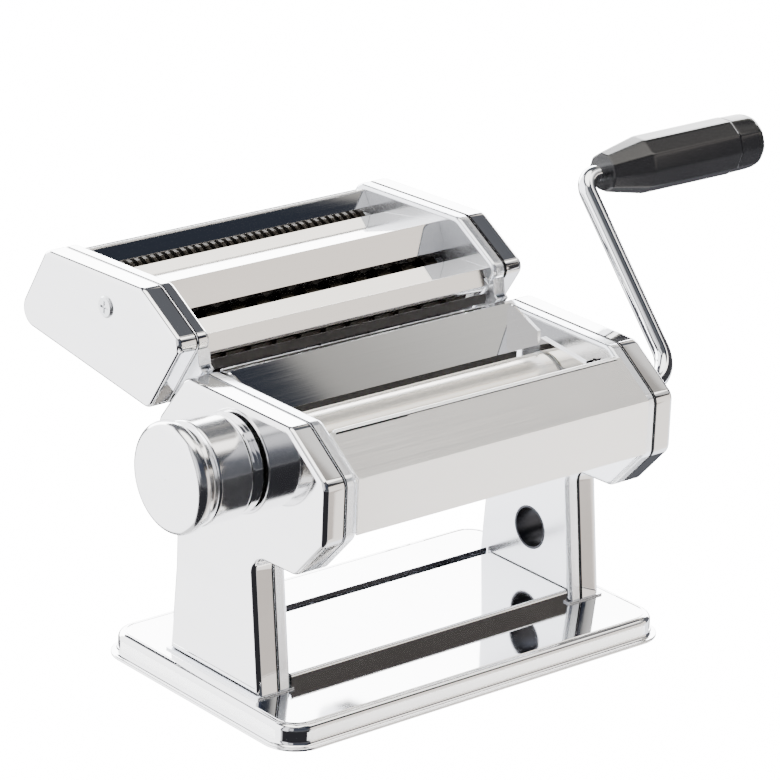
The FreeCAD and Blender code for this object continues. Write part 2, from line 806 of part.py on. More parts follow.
TIE_PLACES = [("chin_front + 3", "nose_low - 4"), ("head_back - 2", "head_top - 13"), ("leg_back - 6", "leg_back_top + 6")]


def own_screws(side):
    """The holes for the two base screws on one side."""
    places = [place for place in base_screw_places() if place[0].startswith("-") == (side < 0)]
    return [(place, "base_screw_radius + press_clearance") for place in places]


def leg_foot(side, name):
    """A plate under the leg, with a block that stands up inside the leg and takes the base screws."""
    body = new_body(f"{name}_leg_foot")
    outline = box_points("foot_front - foot_plate_margin", "foot_back + foot_plate_margin", "tray_height", FOOT)
    side_pad(body, side, f"{FRAME_FACE} - foot_plate_margin",
             "frame_depth + cover_depth + 2 * foot_plate_margin", [outline])
    block = box_points("foot_block_front", "foot_block_back", FOOT, f"{FOOT} + foot_block_height")
    side_pad(body, side, f"{FRAME_FACE} + frame_sheet", "foot_block_width", [block])
    pad(body, "XY_Plane", "tray_height - foot_plate_sheet", "base_screw_length + foot_plate_sheet",
        circles=own_screws(side), cut=True)
    return body


def inner_frame(side, name):
    body = new_body(f"{name}_inner_frame")
    pressed_tray(body, side, FRAME_FACE, "frame_depth", side_outline(), "frame_sheet",
                 "frame_edge_radius", True, side_rounds("frame_sheet"))
    open_foot(body, side, f"{FRAME_FACE} + frame_sheet", "frame_depth", "frame_sheet")
    circles = [((place, height), "tie_rod_thread_radius + press_clearance") for place, height in TIE_PLACES]
    circles.append((("front_axis", "axis_height"), "bush_radius + running_clearance"))
    circles.append(((KNOB_AXIS, "axis_height"), "eccentric_radius + running_clearance"))
    if side > 0:
        circles.append(CLAMP_HOLE)
    side_pad(body, side, f"{FRAME_FACE} - frame_sheet", "3 * frame_sheet", circles=circles, cut=True)
    slot = [("slot_front", "slot_front_top"), ("slot_front", "slot_front_top - slot_width"),
            ("slot_back", "slot_back_top - slot_width"), ("slot_back", "slot_back_top")]
    side_pad(body, side, f"{FRAME_FACE} - frame_sheet", "3 * frame_sheet", [slot], cut=True)


def outer_cover(side, name):
    body = new_body(f"{name}_cover")
    pressed_tray(body, side, SEAM, "cover_depth", side_outline(), "cover_sheet",
                 "cover_edge_radius", False, side_rounds("cover_sheet"))
    open_foot(body, side, f"{SEAM} - 1", "cover_depth - cover_sheet + 1", "cover_sheet")
    if side > 0:
        holes = [(("front_axis", "axis_height"), "journal_radius + 3"), CLAMP_HOLE]
    else:
        holes = [((KNOB_AXIS, "axis_height"), "knob_shaft_radius + 2")]
    side_pad(body, side, f"{COVER_FACE} - 2 * cover_sheet", "3 * cover_sheet", circles=holes, cut=True)


def clamp_socket():
    """A sleeve through the right leg for the end of the table clamp."""
    body = new_body("clamp_socket", "clamp_hole_place", "clamp_hole_height")
    pad(body, "YZ_Plane", FRAME_FACE, "frame_depth + cover_depth",
        circles=[(("0", "0"), "clamp_hole_radius + clamp_sleeve_sheet"), (("0", "0"), "clamp_hole_radius")])


# Sheet rollers: the front one carries the drive, the rear one rides in the eccentric bushes

def socket_points():
    """The stepped socket that takes the crank's end: the drive pin crosses its slim inner part."""
    wide = "(crank_radius + 1.6 * running_clearance)"
    slim = "(crank_tip_radius + 1.6 * running_clearance)"
    step = f"({SOCKET_END} + crank_tip_length)"
    return [("drive_end", wide), (step, wide), (step, slim), (SOCKET_END, slim), (SOCKET_END, "0")]


PIN_PLACE = ("(drive_end - drive_socket_depth + 2 * drive_pin_radius)", "0")


def front_roller():
    left_end = f"-({BUSH_START} + bush_flange_length + bush_length)"
    points = [
        (left_end, "0"), (left_end, "journal_radius"), ("-roller_half_length", "journal_radius"),
        ("-roller_half_length", "roller_radius"), ("roller_half_length", "roller_radius"),
        ("roller_half_length", "journal_radius"), ("drive_end", "journal_radius"), *socket_points(),
    ]
    body = turned("front_roller", points, "front_axis", "axis_height")
    pad(body, "XY_Plane", "-1.5 * journal_radius", "3 * journal_radius",
        circles=[(PIN_PLACE, "drive_pin_radius + press_clearance")], cut=True)
    turn(body, "crank_arm_angle - 90")
    pin = new_body("front_drive_pin", "front_axis", "axis_height")
    pad(pin, "XY_Plane", "-0.92 * journal_radius", "1.84 * journal_radius", circles=[(PIN_PLACE, "drive_pin_radius")])
    turn(pin, "crank_arm_angle - 90")


def turn(body, angle):
    """Turns a body about X, by an angle that the sheet gives."""
    body.Placement.Rotation = FreeCAD.Rotation(X_AXIS, number(angle))
    bind(body, "Placement.Rotation.Angle", angle)


def rear_roller():
    left_end = f"-({BUSH_START} + rear_bush_length)"
    right_end = "roller_gear_start + roller_gear_width + 1"
    points = [
        (left_end, "0"), (left_end, "journal_radius"), ("-roller_half_length", "journal_radius"),
        ("-roller_half_length", "roller_radius"), ("roller_half_length", "roller_radius"),
        ("roller_half_length", "journal_radius"), (right_end, "journal_radius"), (right_end, "0"),
    ]
    turned("rear_roller", points, REAR_AXIS, "axis_height")


def bush(label, side, y, length, flanged):
    sign = "" if side > 0 else "-"
    inner = "journal_radius + running_clearance"
    start = f"{sign}({BUSH_START})"
    step = f"{sign}({BUSH_START} + bush_flange_length)"
    end = f"{sign}({BUSH_START} + {length})"
    points = [(start, inner), (start, "bush_radius"), (end, "bush_radius"), (end, inner)]
    if flanged:
        points[1:2] = [(start, "bush_flange_radius"), (step, "bush_flange_radius"), (step, "bush_radius")]
    return turned(label, points, y, "axis_height")


def gear(label, y, z, start, width, teeth, pitch_radius, half, addendum, dedendum, bore, phase):
    """A spur gear with straight-sided teeth, turned by phase degrees from a tooth along +Y."""
    body = new_body(label, y, z)
    root = f"({pitch_radius} - {dedendum})"
    pad(body, "YZ_Plane", start, width, circles=[(("0", "0"), root), (("0", "0"), bore)])
    tip = f"({pitch_radius} + {addendum})"
    tip_half = f"({half} - tooth_flank_slope * {addendum})"
    root_half = f"({half} + tooth_flank_slope * {dedendum})"
    sink = f"({root} * 0.93)"
    tooth_points = [(sink, f"-{root_half}"), (tip, f"-{tip_half}"), (tip, tip_half), (sink, root_half)]
    tooth = pad(body, "YZ_Plane", start, width, [tooth_points])
    repeat_round(body, tooth, "360", teeth)
    turn(body, phase)


def roller_gears():
    common = ("roller_gear_start", "roller_gear_width", "roller_gear_teeth", f"({AXIS_GAP} / 2)",
              "roller_tooth_pitch_half", "roller_tooth_addendum", "roller_tooth_dedendum",
              "(journal_radius + press_clearance)")
    gear("front_gear", "front_axis", "axis_height", *common, "360")
    gear("rear_gear", REAR_AXIS, "axis_height", *common, "180 / roller_gear_teeth - gear_lean")


def rear_scraper():
    """A thin blade that hugs the underside of the rear roller, on two ears that the bushes carry."""
    body = new_body("rear_scraper", REAR_AXIS, "axis_height")
    inner = "(roller_radius + scraper_inner_gap)"
    outer = f"({inner} + scraper_sheet)"
    for side in (1, -1):
        side_pad(body, side, BUSH_START, "scraper_ear",
                 circles=[(("0", "0"), "bush_radius + scraper_ear_rim"), (("0", "0"), "bush_radius + press_clearance")])
        side_pad(body, side, BUSH_START, "scraper_ear", [scraper_lug(outer)])
    sketch = new_sketch(body, "YZ_Plane", f"-({BUSH_START})")
    draw_blade(sketch, inner, outer)
    extrude(body, sketch, f"2 * ({BUSH_START})")


def scraper_lug(outer):
    """The part of an ear that reaches from its ring down to the blade."""
    root = "(bush_radius + scraper_ear_rim / 2)"
    spots = ((root, -85), (outer, -85), (outer, -67), (outer, -50), (root, -50))
    return [(f"{radius} * cos({angle})", f"{radius} * sin({angle})") for radius, angle in spots]


def draw_blade(sketch, inner, outer):
    """An arc-shaped section from straight below the roller to its lower back."""
    low, high = math.radians(-85), math.radians(-50)
    spots = []
    for radius in (inner, outer):
        size = number(radius)
        for angle in (low, high):
            spots.append(FreeCAD.Vector(size * math.cos(angle), size * math.sin(angle), 0))
    zero = FreeCAD.Vector(0, 0, 0)
    normal = FreeCAD.Vector(0, 0, 1)
    for radius in (inner, outer):
        circle = Part.Circle(zero, normal, number(radius))
        arc = sketch.addGeometry(Part.ArcOfCircle(circle, low, high), False)
        sketch.addConstraint(Sketcher.Constraint("Coincident", arc, 3, -1, 1))
        index = sketch.addConstraint(Sketcher.Constraint("Radius", arc, number(radius)))
        bind(sketch, f"Constraints[{index}]", radius)
    sketch.addGeometry(Part.LineSegment(spots[0], spots[2]), False)
    sketch.addGeometry(Part.LineSegment(spots[1], spots[3]), False)
    for line, end in ((2, 1), (3, 2)):
        sketch.addConstraint(Sketcher.Constraint("Coincident", line, 1, 0, end))
        sketch.addConstraint(Sketcher.Constraint("Coincident", line, 2, 1, end))
        sketch.addConstraint(Sketcher.Constraint("PointOnObject", -1, 1, line))
    for point, angle in ((1, low), (2, high)):
        rule = Sketcher.Constraint("DistanceX", -1, 1, 0, point, number(inner) * math.cos(angle))
        bind(sketch, f"Constraints[{sketch.addConstraint(rule)}]", f"{inner} * cos({math.degrees(angle):.0f})")


def front_scraper():
    body = new_body("front_scraper")
    gap = "(roller_radius + scraper_inner_gap)"
    place, height = TIE_PLACES[0]
    foot = f"{height} - tie_rod_radius"
    blade = [
        (f"{place} - tie_rod_radius", foot), (f"{place} + 2 * tie_rod_radius", foot),
        ("front_axis + 0.09 * roller_radius", f"axis_height - {gap} * 0.999"),
    ]
    strip_pad(body, FRAME_FACE, blade, "scraper_sheet")


# Thickness setting: eccentric bushes, link, shaft, index disc and knob

def eccentric_bush(side, name):
    body = new_body(f"{name}_eccentric", KNOB_AXIS, "axis_height")
    bore = (("-eccentric_offset", "0"), "bush_radius + running_clearance")
    side_pad(body, side, ARM_START, "eccentric_flange",
             circles=[(("0", "0"), "eccentric_flange_radius"), bore])
    side_pad(body, side, f"{FRAME_FACE} - side_clearance", "eccentric_length",
             circles=[(("0", "0"), "eccentric_radius"), bore])
    if side < 0:
        side_pad(body, side, f"{FRAME_FACE} - side_clearance + eccentric_length", "eccentric_cap",
                 circles=[(("0", "0"), "eccentric_radius")])
    side_pad(body, side, ARM_START, "eccentric_flange", [link_arm()])
    hole = (("link_reach * cos(link_angle)", "link_reach * sin(link_angle)"), "link_radius + press_clearance")
    side_pad(body, side, f"{ARM_START} - eccentric_flange", "3 * eccentric_flange", circles=[hole], cut=True)


def link_arm():
    """A straight arm from the flange's rim out past the link rod."""
    start = "(eccentric_flange_radius - 2)"
    end = "(link_reach + link_radius + 1.2)"
    wide = "link_arm_half"
    slim = "(link_arm_half * 0.75)"
    corners = []
    for along, across in ((start, f"-{wide}"), (end, f"-{slim}"), (end, slim), (start, wide)):
        corners.append((f"{along} * cos(link_angle) - ({across}) * sin(link_angle)",
                        f"{along} * sin(link_angle) + ({across}) * cos(link_angle)"))
    return corners


def eccentric_link():
    body = new_body("eccentric_link", f"{KNOB_AXIS} + link_reach * cos(link_angle)",
                    "axis_height + link_reach * sin(link_angle)")
    across_pad(body, f"({ARM_START} + eccentric_flange)", circles=[(("0", "0"), "link_radius")])


def knob_shaft():
    body = new_body("knob_shaft", KNOB_AXIS, "axis_height")
    start = f"{FRAME_FACE} - side_clearance + eccentric_length + eccentric_cap"
    side_pad(body, -1, start, f"knob_back + 1 - ({start})", circles=[(("0", "0"), "knob_shaft_radius")])
    square = box_points("-knob_shaft_square", "knob_shaft_square", "-knob_shaft_square", "knob_shaft_square")
    side_pad(body, -1, "knob_back + 1", "knob_shaft_end - knob_back - 1", [square])


def index_disc():
    body = new_body("index_disc", KNOB_AXIS, "axis_height")
    side_pad(body, -1, COVER_FACE, "index_sheet",
             circles=[(("0", "0"), "index_radius"), (("0", "0"), "knob_shaft_radius + 1")])
    bevel_rim(body, -number(f"{COVER_FACE} + index_sheet"), "index_sheet * 0.3")
    hole = side_pad(body, -1, f"{COVER_FACE} + index_sheet * 0.3", "index_sheet",
                    circles=[(("0", "index_hole_reach"), "index_hole_radius")], cut=True)
    repeat_round(body, hole, "setting_angle * (setting_count - 1)", "setting_count")


def knob():
    points = [
        ("-knob_back", "knob_cavity_radius"), ("-knob_back", "knob_body_radius - 1"),
        ("-knob_back - 1", "knob_body_radius"), ("-knob_waist_start + 1", "knob_body_radius"),
        ("-knob_waist_start", "knob_body_radius - 1"), ("-knob_waist_start", "knob_waist_radius"),
        ("-knob_cap_start", "knob_waist_radius"), ("-knob_cap_start", "knob_spring_room"),
        ("-knob_web_end", "knob_spring_room"), ("-knob_web_end", "knob_shaft_square * 1.2"),
        ("-knob_web_start", "knob_shaft_square * 1.2"), ("-knob_web_start", "knob_cavity_radius"),
    ]
    body = turned("knob", points, KNOB_AXIS, "axis_height")
    square = "knob_shaft_square + running_clearance"
    outline = box_points(f"-({square})", square, f"-({square})", square)
    side_pad(body, -1, "knob_web_start - 1", "knob_web_end - knob_web_start + 2", [outline], cut=True)
    side_pad(body, -1, "knob_back - 1", "knob_web_start - knob_back + 1",
             circles=[(("0", "index_hole_reach"), "detent_pin_radius + press_clearance")], cut=True)
    cap = [
        ("-knob_cap_start", "0"), ("-knob_cap_start", "knob_cap_radius - 0.8"),
        ("-knob_cap_start - 0.8", "knob_cap_radius"), ("-knob_cap_start - 2.2", "knob_cap_radius"),
        ("-knob_cap_start - 3.4", "knob_cap_radius - 1.2"), ("-knob_cap_start - 4.4", "knob_cap_radius - 4"),
        ("-knob_cap_front + 0.3", "knob_cap_radius * 0.45"), ("-knob_cap_front", "0"),
    ]
    turned("knob_cap", cap, KNOB_AXIS, "axis_height")


def detent_pin():
    body = new_body("detent_pin", KNOB_AXIS, "axis_height + index_hole_reach")
    start = f"({COVER_FACE} + index_sheet + side_clearance)"
    side_pad(body, -1, start, f"knob_web_start - {start}", circles=[(("0", "0"), "detent_pin_radius")])


def knob_spring():
    """A coil of square wire behind the nut, drawn at its pressed length."""
    wire = number("spring_wire")
    start = number("knob_shaft_end - knob_nut_length - spring_wire / 2")
    rise = number("spring_pressed_length - spring_wire")
    radius = number("spring_radius")
    path = Part.Wire(Part.makeHelix(rise / number("spring_turns"), rise, radius).Edges)
    corners = [FreeCAD.Vector(radius + wire * a / 2, 0, wire * b / 2) for a, b in ((-1, -1), (1, -1), (1, 1), (-1, 1))]
    profile = Part.makePolygon(corners + corners[:1])
    coil = path.makePipeShell([profile], True, True)
    spring = doc.addObject("Part::Feature", "Spring")
    spring.Label = "knob_spring"
    spring.Shape = Part.Solid(coil) if coil.ShapeType == "Shell" else coil
    place = FreeCAD.Vector(-start, number(KNOB_AXIS), number("axis_height"))
    spring.Placement = FreeCAD.Placement(place, FreeCAD.Rotation(FreeCAD.Vector(0, 1, 0), 90))
    bodies.append(spring)


def knob_nut():
    body = new_body("knob_nut", KNOB_AXIS, "axis_height")
    square = box_points("-knob_shaft_square", "knob_shaft_square", "-knob_shaft_square", "knob_shaft_square")
    side_pad(body, -1, "knob_shaft_end - knob_nut_length", "knob_nut_length",
             [square], [(("0", "0"), "knob_nut_radius")])


# Crank: bent rod, turning grip, cap and retainer

def crank_rod():
    body = new_body("crank_rod", "front_axis", "axis_height")
    tip = f"({SOCKET_END} + side_clearance)"
    start = f"({tip} + crank_tip_length)"
    bend = "crank_arm_place"
    low = "crank_low_bend"
    high = "crank_high_bend"
    reach = "crank_arm_length"
    path = new_sketch(body, "XZ_Plane")
    end = "(grip_cap_start + side_clearance + retainer_length + 0.6)"
    spots = [
        (start, "0"), (f"{bend} - {low}", "0"), (bend, low), (bend, f"{reach} - {high}"),
        (f"{bend} + {high}", reach), (end, reach),
    ]
    vectors = [FreeCAD.Vector(number(a), number(b), 0) for a, b in spots]
    for line, first in enumerate((0, 2, 4)):
        path.addGeometry(Part.LineSegment(vectors[first], vectors[first + 1]), False)
        place_point(path, line, 1, spots[first])
        place_point(path, line, 2, spots[first + 1])
    draw_arc(path, (f"{bend} - {low}", low), low, -math.pi / 2, 0.0, [(0, 2), (1, 1)])
    draw_arc(path, (f"{bend} + {high}", f"{reach} - {high}"), high, math.pi / 2, math.pi, [(2, 1), (1, 2)])
    profile = new_sketch(body, "YZ_Plane", start)
    draw_circle(profile, ("0", "0"), "crank_radius")
    pipe = body.newObject("PartDesign::AdditivePipe", "AdditivePipe")
    pipe.Profile = profile
    pipe.Spine = (path, [])
    doc.recompute()
    pad(body, "YZ_Plane", tip, "crank_tip_length + 1", circles=[(("0", "0"), "crank_tip_radius")])
    slot_half = "(drive_pin_radius + side_clearance)"
    slot = box_points(f"{tip} - 1", start, f"-{slot_half}", slot_half)
    pad(body, "XY_Plane", "-2 * crank_radius", "4 * crank_radius", [slot], cut=True)
    turn(body, "crank_arm_angle - 90")


def grip_axis():
    return ("front_axis + crank_arm_length * cos(crank_arm_angle)",
            "axis_height + crank_arm_length * sin(crank_arm_angle)")


def polygon_ring(radius, sides):
    count = int(round(number(sides)))
    return [(f"({radius}) * cos({360.0 / count * i:.3f})", f"({radius}) * sin({360.0 / count * i:.3f})")
            for i in range(count)]


def crank_grip():
    y, z = grip_axis()
    body = new_body("crank_grip", y, z)
    stations = [("grip_start", "grip_small_radius"), ("grip_shoulder", "grip_shoulder_radius"),
                ("grip_widest", "grip_radius"), ("grip_cap_start", "grip_radius")]
    sketches = []
    for place, radius in stations:
        sketch = new_sketch(body, "YZ_Plane", place)
        draw_outline(sketch, polygon_ring(radius, "grip_side_count"))
        sketches.append(sketch)
    loft = body.newObject("PartDesign::AdditiveLoft", "AdditiveLoft")
    loft.Profile = sketches[0]
    loft.Sections = sketches[1:]
    loft.Ruled = True
    doc.recompute()
    bore = (("0", "0"), "crank_radius + 1.6 * running_clearance")
    pad(body, "YZ_Plane", "grip_start - 1", "grip_cap_start - grip_start + 2", circles=[bore], cut=True)


def grip_cap():
    y, z = grip_axis()
    room = "retainer_radius + side_clearance + 0.5"
    points = [
        ("grip_cap_start", room), ("grip_cap_start", "grip_cap_radius"), ("grip_cap_start + 7", "grip_cap_radius * 0.98"),
        ("grip_end - 7.4", "grip_cap_radius * 0.86"), ("grip_end - 2.6", "grip_cap_radius * 0.62"),
        ("grip_end", "grip_end_radius * 0.6"), ("grip_end", "0"), ("grip_end - 11", "0"), ("grip_end - 11", room),
    ]
    turned("grip_cap", points, y, z)


def grip_retainer():
    y, z = grip_axis()
    body = new_body("grip_retainer", y, z)
    pad(body, "YZ_Plane", "grip_cap_start + side_clearance", "retainer_length",
        circles=[(("0", "0"), "retainer_radius"), (("0", "0"), "crank_radius + press_clearance")])


# Sheet metal between the frames

def front_panel():
    body = new_body("front_panel")
    stand = "(panel_stand_off + panel_sheet)"
    points = [
        (f"nose_front - {stand}", "panel_low"), (f"nose_front - {stand}", f"nose_top + 0.3 * {stand}"),
        ("panel_lip_front", "panel_lip_top"),
    ]
    strip_pad(body, "panel_half_width", points, "panel_sheet")
    hem = [("panel_lip_front", "panel_lip_top"), ("panel_lip_front + 3.2", "panel_lip_top - 3.4")]
    strip_pad(body, f"({FRAME_FACE} - side_clearance)", hem, "panel_sheet")


def dough_guide():
    body = new_body("dough_guide")
    points = [("guide_low_front", "guide_low"), ("guide_top_front", "guide_top"), ("guide_top_back", "guide_top - 0.5")]
    strip_pad(body, FRAME_FACE, points, "guide_sheet")
    wing = [
        ("guide_low_front + 0.1", "guide_low"), ("guide_top_front", "guide_top - 0.4"), ("guide_top_front - 4", "guide_top - 0.6"),
        ("guard_back + 2.5", "guard_back_top + 1.9"), ("guard_back + 2.2", "guide_low + 3.7"),
    ]
    for side in (1, -1):
        side_pad(body, side, f"{FRAME_FACE} - guide_sheet", "guide_sheet", [wing])


def side_guard(side, name):
    body = new_body(f"{name}_side_guard")
    outline = [("guard_front", "guard_front_top - 2.4"), ("guard_front", "guard_front_top"),
               ("guard_back", "guard_back_top"), ("guard_back", "guard_low + 3"),
               ("guard_back - 8.6", "guard_low + 3"), ("guard_back - 13", "guard_low"),
               ("guard_front + 9", "guard_low")]
    side_pad(body, side, f"{FRAME_FACE} - guard_sheet", "guard_sheet", [outline])
    return body


def tie_rods():
    rods = []
    nuts = []
    for index, (place, height) in enumerate(TIE_PLACES):
        body = new_body(f"tie_rod_{index}", place, height)
        across_pad(body, FRAME_FACE, circles=[(("0", "0"), "tie_rod_radius")])
        for side in (1, -1):
            side_pad(body, side, FRAME_FACE, "frame_sheet + tie_nut_height + 0.8",
                     circles=[(("0", "0"), "tie_rod_thread_radius")])
            nut = new_body(f"tie_nut_{index}_{side + 1}", place, height)
            side_pad(nut, side, f"{FRAME_FACE} + frame_sheet", "tie_nut_height",
                     [hex_points("0", "0", "tie_nut_radius")],
                     [(("0", "0"), "tie_rod_thread_radius + press_clearance")])
            nuts.append(nut)
        rods.append(body)
    group("tie_rods", rods)
    group("tie_nuts", nuts)


# Rail: a T-section on the frame's back slope and the channel on the cutter head that slides along it

SLOPE = "(sqrt((back_edge - head_back)^2 + (head_top - back_top)^2))"
DOWN_Y = f"((back_edge - head_back) / {SLOPE})"
DOWN_Z = f"((head_top - back_top) / {SLOPE})"


def on_slope(along, away):
    """A point given by how far it lies down the back slope and how far it stands off it."""
    return (f"head_back + ({along}) * {DOWN_Y} + ({away}) * {DOWN_Z}",
            f"head_top - ({along}) * {DOWN_Z} + ({away}) * {DOWN_Y}")


def slope_box(first, last, low, high):
    return [on_slope(first, low), on_slope(last, low), on_slope(last, high), on_slope(first, high)]


def rail(side, name):
    body = new_body(f"{name}_rail")
    middle = f"({FRAME_FACE} + frame_depth / 2)"
    top = "(rail_stem_rise + rail_head_rise)"
    side_pad(body, side, f"{middle} - rail_stem / 2", "rail_stem",
             [slope_box("rail_start", "rail_end", "0", top)])
    side_pad(body, side, f"{middle} - rail_head / 2", "rail_head",
             [slope_box("rail_start", "rail_end", "rail_stem_rise", top)])
    side_pad(body, side, f"{middle} - rail_head / 2", "rail_head",
             [slope_box("rail_end - rail_stop", "rail_end", "0", f"{top} + 1")])
    return body


def rail_channel(side, name):
    body = new_body(f"{name}_rail_channel")
    middle = f"({FRAME_FACE} + frame_depth / 2)"
    half = "(rail_head / 2 + rail_clearance)"
    outer = f"({half} + rail_wall * 0.9)"
    back = "(rail_stem_rise + rail_head_rise + rail_clearance)"
    first = "(rail_start - 2)"
    last = "(rail_end - rail_stop - rail_clearance)"
    lip_low = "(rail_stem_rise - rail_clearance - rail_wall)"
    lip_high = "(rail_stem_rise - rail_clearance)"
    seat = [on_slope(first, back), on_slope(last, back), cutter_slant("0.80"), cutter_slant("0.12")]
    side_pad(body, side, f"{middle} - {outer}", f"2 * {outer}", [seat])
    for sign in ("-", ""):
        wall = f"{middle} - {outer}" if sign else f"{middle} + {half}"
        side_pad(body, side, wall, f"{outer} - {half}", [slope_box(first, last, lip_low, back)])
        lip = f"{middle} - {outer}" if sign else f"{middle} + rail_stem / 2 + rail_clearance"
        side_pad(body, side, lip, f"{outer} - rail_stem / 2 - rail_clearance",
                 [slope_box(first, last, lip_low, lip_high)])
    return body


def cutter_slant(share):
    """A point on the cutter head's lower front edge, by its share of the way from nose to chin."""
    return (f"cutter_nose + {share} * (cutter_chin - cutter_nose)",
            f"cutter_nose_height + {share} * (cutter_chin_height - cutter_nose_height)")


# Cutter head

def cutter_outline():
    return [
        ("cutter_top_front", "cutter_top_front_height"), ("cutter_nose", "cutter_nose_height"),
        ("cutter_chin", "cutter_chin_height"), ("cutter_heel", "cutter_heel_height"),
        ("cutter_back", "cutter_back_height"),
    ]


def cutter_rounds(sheet_size):
    return [
        ((0, 3), "cutter_heel_radius", f"cutter_heel_radius - {sheet_size}"),
        ((1, 2, 4), "cutter_corner_radius", f"cutter_corner_radius - {sheet_size}"),
    ]


def cutter_shafts():
    """Name, the shaft's axis, its pair's drive and the number that offsets its rings."""
    return [
        ("fine_front_cutter", "fine_front_axis", "fine_height", "fine", 0, True),
        ("fine_rear_cutter", "(fine_front_axis + cutter_spacing)", "fine_height", "fine", 1, False),
        ("wide_front_cutter", "wide_front_axis", "wide_height", "wide", 0, False),
        ("wide_rear_cutter", "(wide_front_axis + cutter_spacing)", "wide_height", "wide", 1, True),
    ]


def cutter_frame(side, name):
    body = new_body(f"cutter_{name}_frame")
    pressed_tray(body, side, FRAME_FACE, "frame_depth", cutter_outline(), "frame_sheet",
                 "frame_edge_radius", True, cutter_rounds("frame_sheet"))
    circles = [((y, z), "cutter_bush_radius + press_clearance") for _, y, z, _, _, _ in cutter_shafts()]
    circles += [((y, z), "tie_rod_thread_radius + press_clearance") for y, z in CUTTER_TIES]
    side_pad(body, side, f"{FRAME_FACE} - frame_sheet", "3 * frame_sheet", circles=circles, cut=True)


def cutter_cover(side, name):
    body = new_body(f"cutter_{name}_cover")
    pressed_tray(body, side, SEAM, f"(cutter_cover_end - {SEAM})", cutter_outline(), "cover_sheet",
                 "cutter_edge_radius", False, cutter_rounds("cover_sheet"))
    holes = [(("cutter_screw_place", "cutter_screw_height"), "tie_rod_thread_radius + press_clearance")]
    if side > 0:
        holes += [((y, z), "cutter_journal_radius + 2") for _, y, z, _, _, driven in cutter_shafts() if driven]
    side_pad(body, side, "cutter_cover_end - 2 * cover_sheet", "3 * cover_sheet", circles=holes, cut=True)


CUTTER_TIES = [("cutter_screw_place", "cutter_screw_height"), ("cutter_screw_place + 5", "fine_height - 16")]


def cutter_tie_rods():
    rods = []
    for index, (place, height) in enumerate(CUTTER_TIES):
        body = new_body(f"cutter_tie_rod_{index}", place, height)
        across_pad(body, FRAME_FACE, circles=[(("0", "0"), "tie_rod_radius")])
        reach = "frame_sheet" if index else "cutter_cover_end - frame_gap / 2"
        for side in (1, -1):
            side_pad(body, side, FRAME_FACE, reach, circles=[(("0", "0"), "tie_rod_thread_radius")])
        rods.append(body)
    group("cutter_tie_rods", rods)


def cutter_screws():
    parts = []
    for side in (1, -1):
        body = new_body(f"cutter_screw_{side + 1}", "cutter_screw_place", "cutter_screw_height")
        side_pad(body, side, "cutter_cover_end", "cutter_screw_head", circles=[(("0", "0"), "cutter_screw_radius")])
        bevel_rim(body, side * number("cutter_cover_end + cutter_screw_head"), "cutter_screw_head * 0.6")
        for length, width in (("2.6", "0.5"), ("0.5", "2.6")):
            cross = box_points(f"-{length}", length, f"-{width}", width)
            side_pad(body, side, "cutter_cover_end + cutter_screw_head / 3", "cutter_screw_head", [cross], cut=True)
        parts.append(body)
    group("cutter_screws", parts)


def cutter_bushes():
    parts = []
    for label, y, z, _, _, _ in cutter_shafts():
        for side in (1, -1):
            body = new_body(f"bush_{label}_{side + 1}", y, z)
            start = "(cutter_half_length + side_clearance)"
            side_pad(body, side, start, f"{FRAME_FACE} + 2 * frame_sheet - {start}",
                     circles=[(("0", "0"), "cutter_bush_radius"),
                              (("0", "0"), "cutter_journal_radius + running_clearance")])
            parts.append(body)
    group("cutter_bushes", parts)


def cutter_plates():
    half = f"({FRAME_FACE})"
    rear = [("rear_plate_low", "slot_height"), ("rear_plate_top", "rear_plate_height"), ("rear_plate_lip", "rear_plate_height - 1.2")]
    middle = [("middle_plate_low", "middle_plate_low_height"), ("middle_ridge", "middle_ridge_height"), ("middle_plate_back", "slot_height")]
    front = [("front_plate_lip", "front_plate_lip_height"), ("front_plate_chin", "front_plate_chin_height"),
             ("front_ridge", "front_ridge_height"), ("front_plate_back", "front_plate_back_height")]
    for label, points in (("cutter_rear_plate", rear), ("cutter_middle_plate", middle), ("cutter_front_plate", front)):
        body = new_body(label)
        strip_pad(body, half, points, "plate_sheet")


def cutter_shaft(label, y, z, kind, offset, driven):
    """A core with square-edged rings: each ring runs in the groove of the other shaft of its pair."""
    strip = f"{kind}_strip"
    count = f"{kind}_ring_count"
    pitch = f"(2 * {strip})"
    end = "cutter_half_length"
    left = f"-({FRAME_FACE} + frame_sheet + 1)"
    gear_end = "(cutter_gear_start + cutter_gear_width)"
    right = "drive_end" if driven else f"{gear_end} + 1"
    points = [
        (left, "0"), (left, "cutter_journal_radius"), (right, "cutter_journal_radius"),
    ]
    if driven:
        points += socket_points()
    else:
        points += [(right, "0")]
    body = turned(label, points, y, z)
    if driven:
        pad(body, "XY_Plane", "-0.9 * cutter_journal_radius", "1.8 * cutter_journal_radius",
            circles=[(PIN_PLACE, "drive_pin_radius")])
    across_pad(body, end, [polygon_ring("cutter_core_radius", "cutter_core_sides")])
    width = f"({strip} - cutter_side_gap)"
    start = f"-({count} * {pitch} / 2) + {offset} * {strip} + cutter_side_gap / 2"
    ring = pad(body, "YZ_Plane", start, width, [polygon_ring("cutter_radius", "cutter_ring_sides")])
    repeat_along(body, ring, f"{pitch} * ({count} - 1)", count)


def cutter_gear(label, y, z, phase):
    gear(label, y, z, "cutter_gear_start", "cutter_gear_width", "cutter_gear_teeth", "(cutter_spacing / 2)",
         "cutter_tooth_pitch_half", "cutter_tooth_addendum", "cutter_tooth_dedendum",
         "(cutter_journal_radius + press_clearance)", phase)


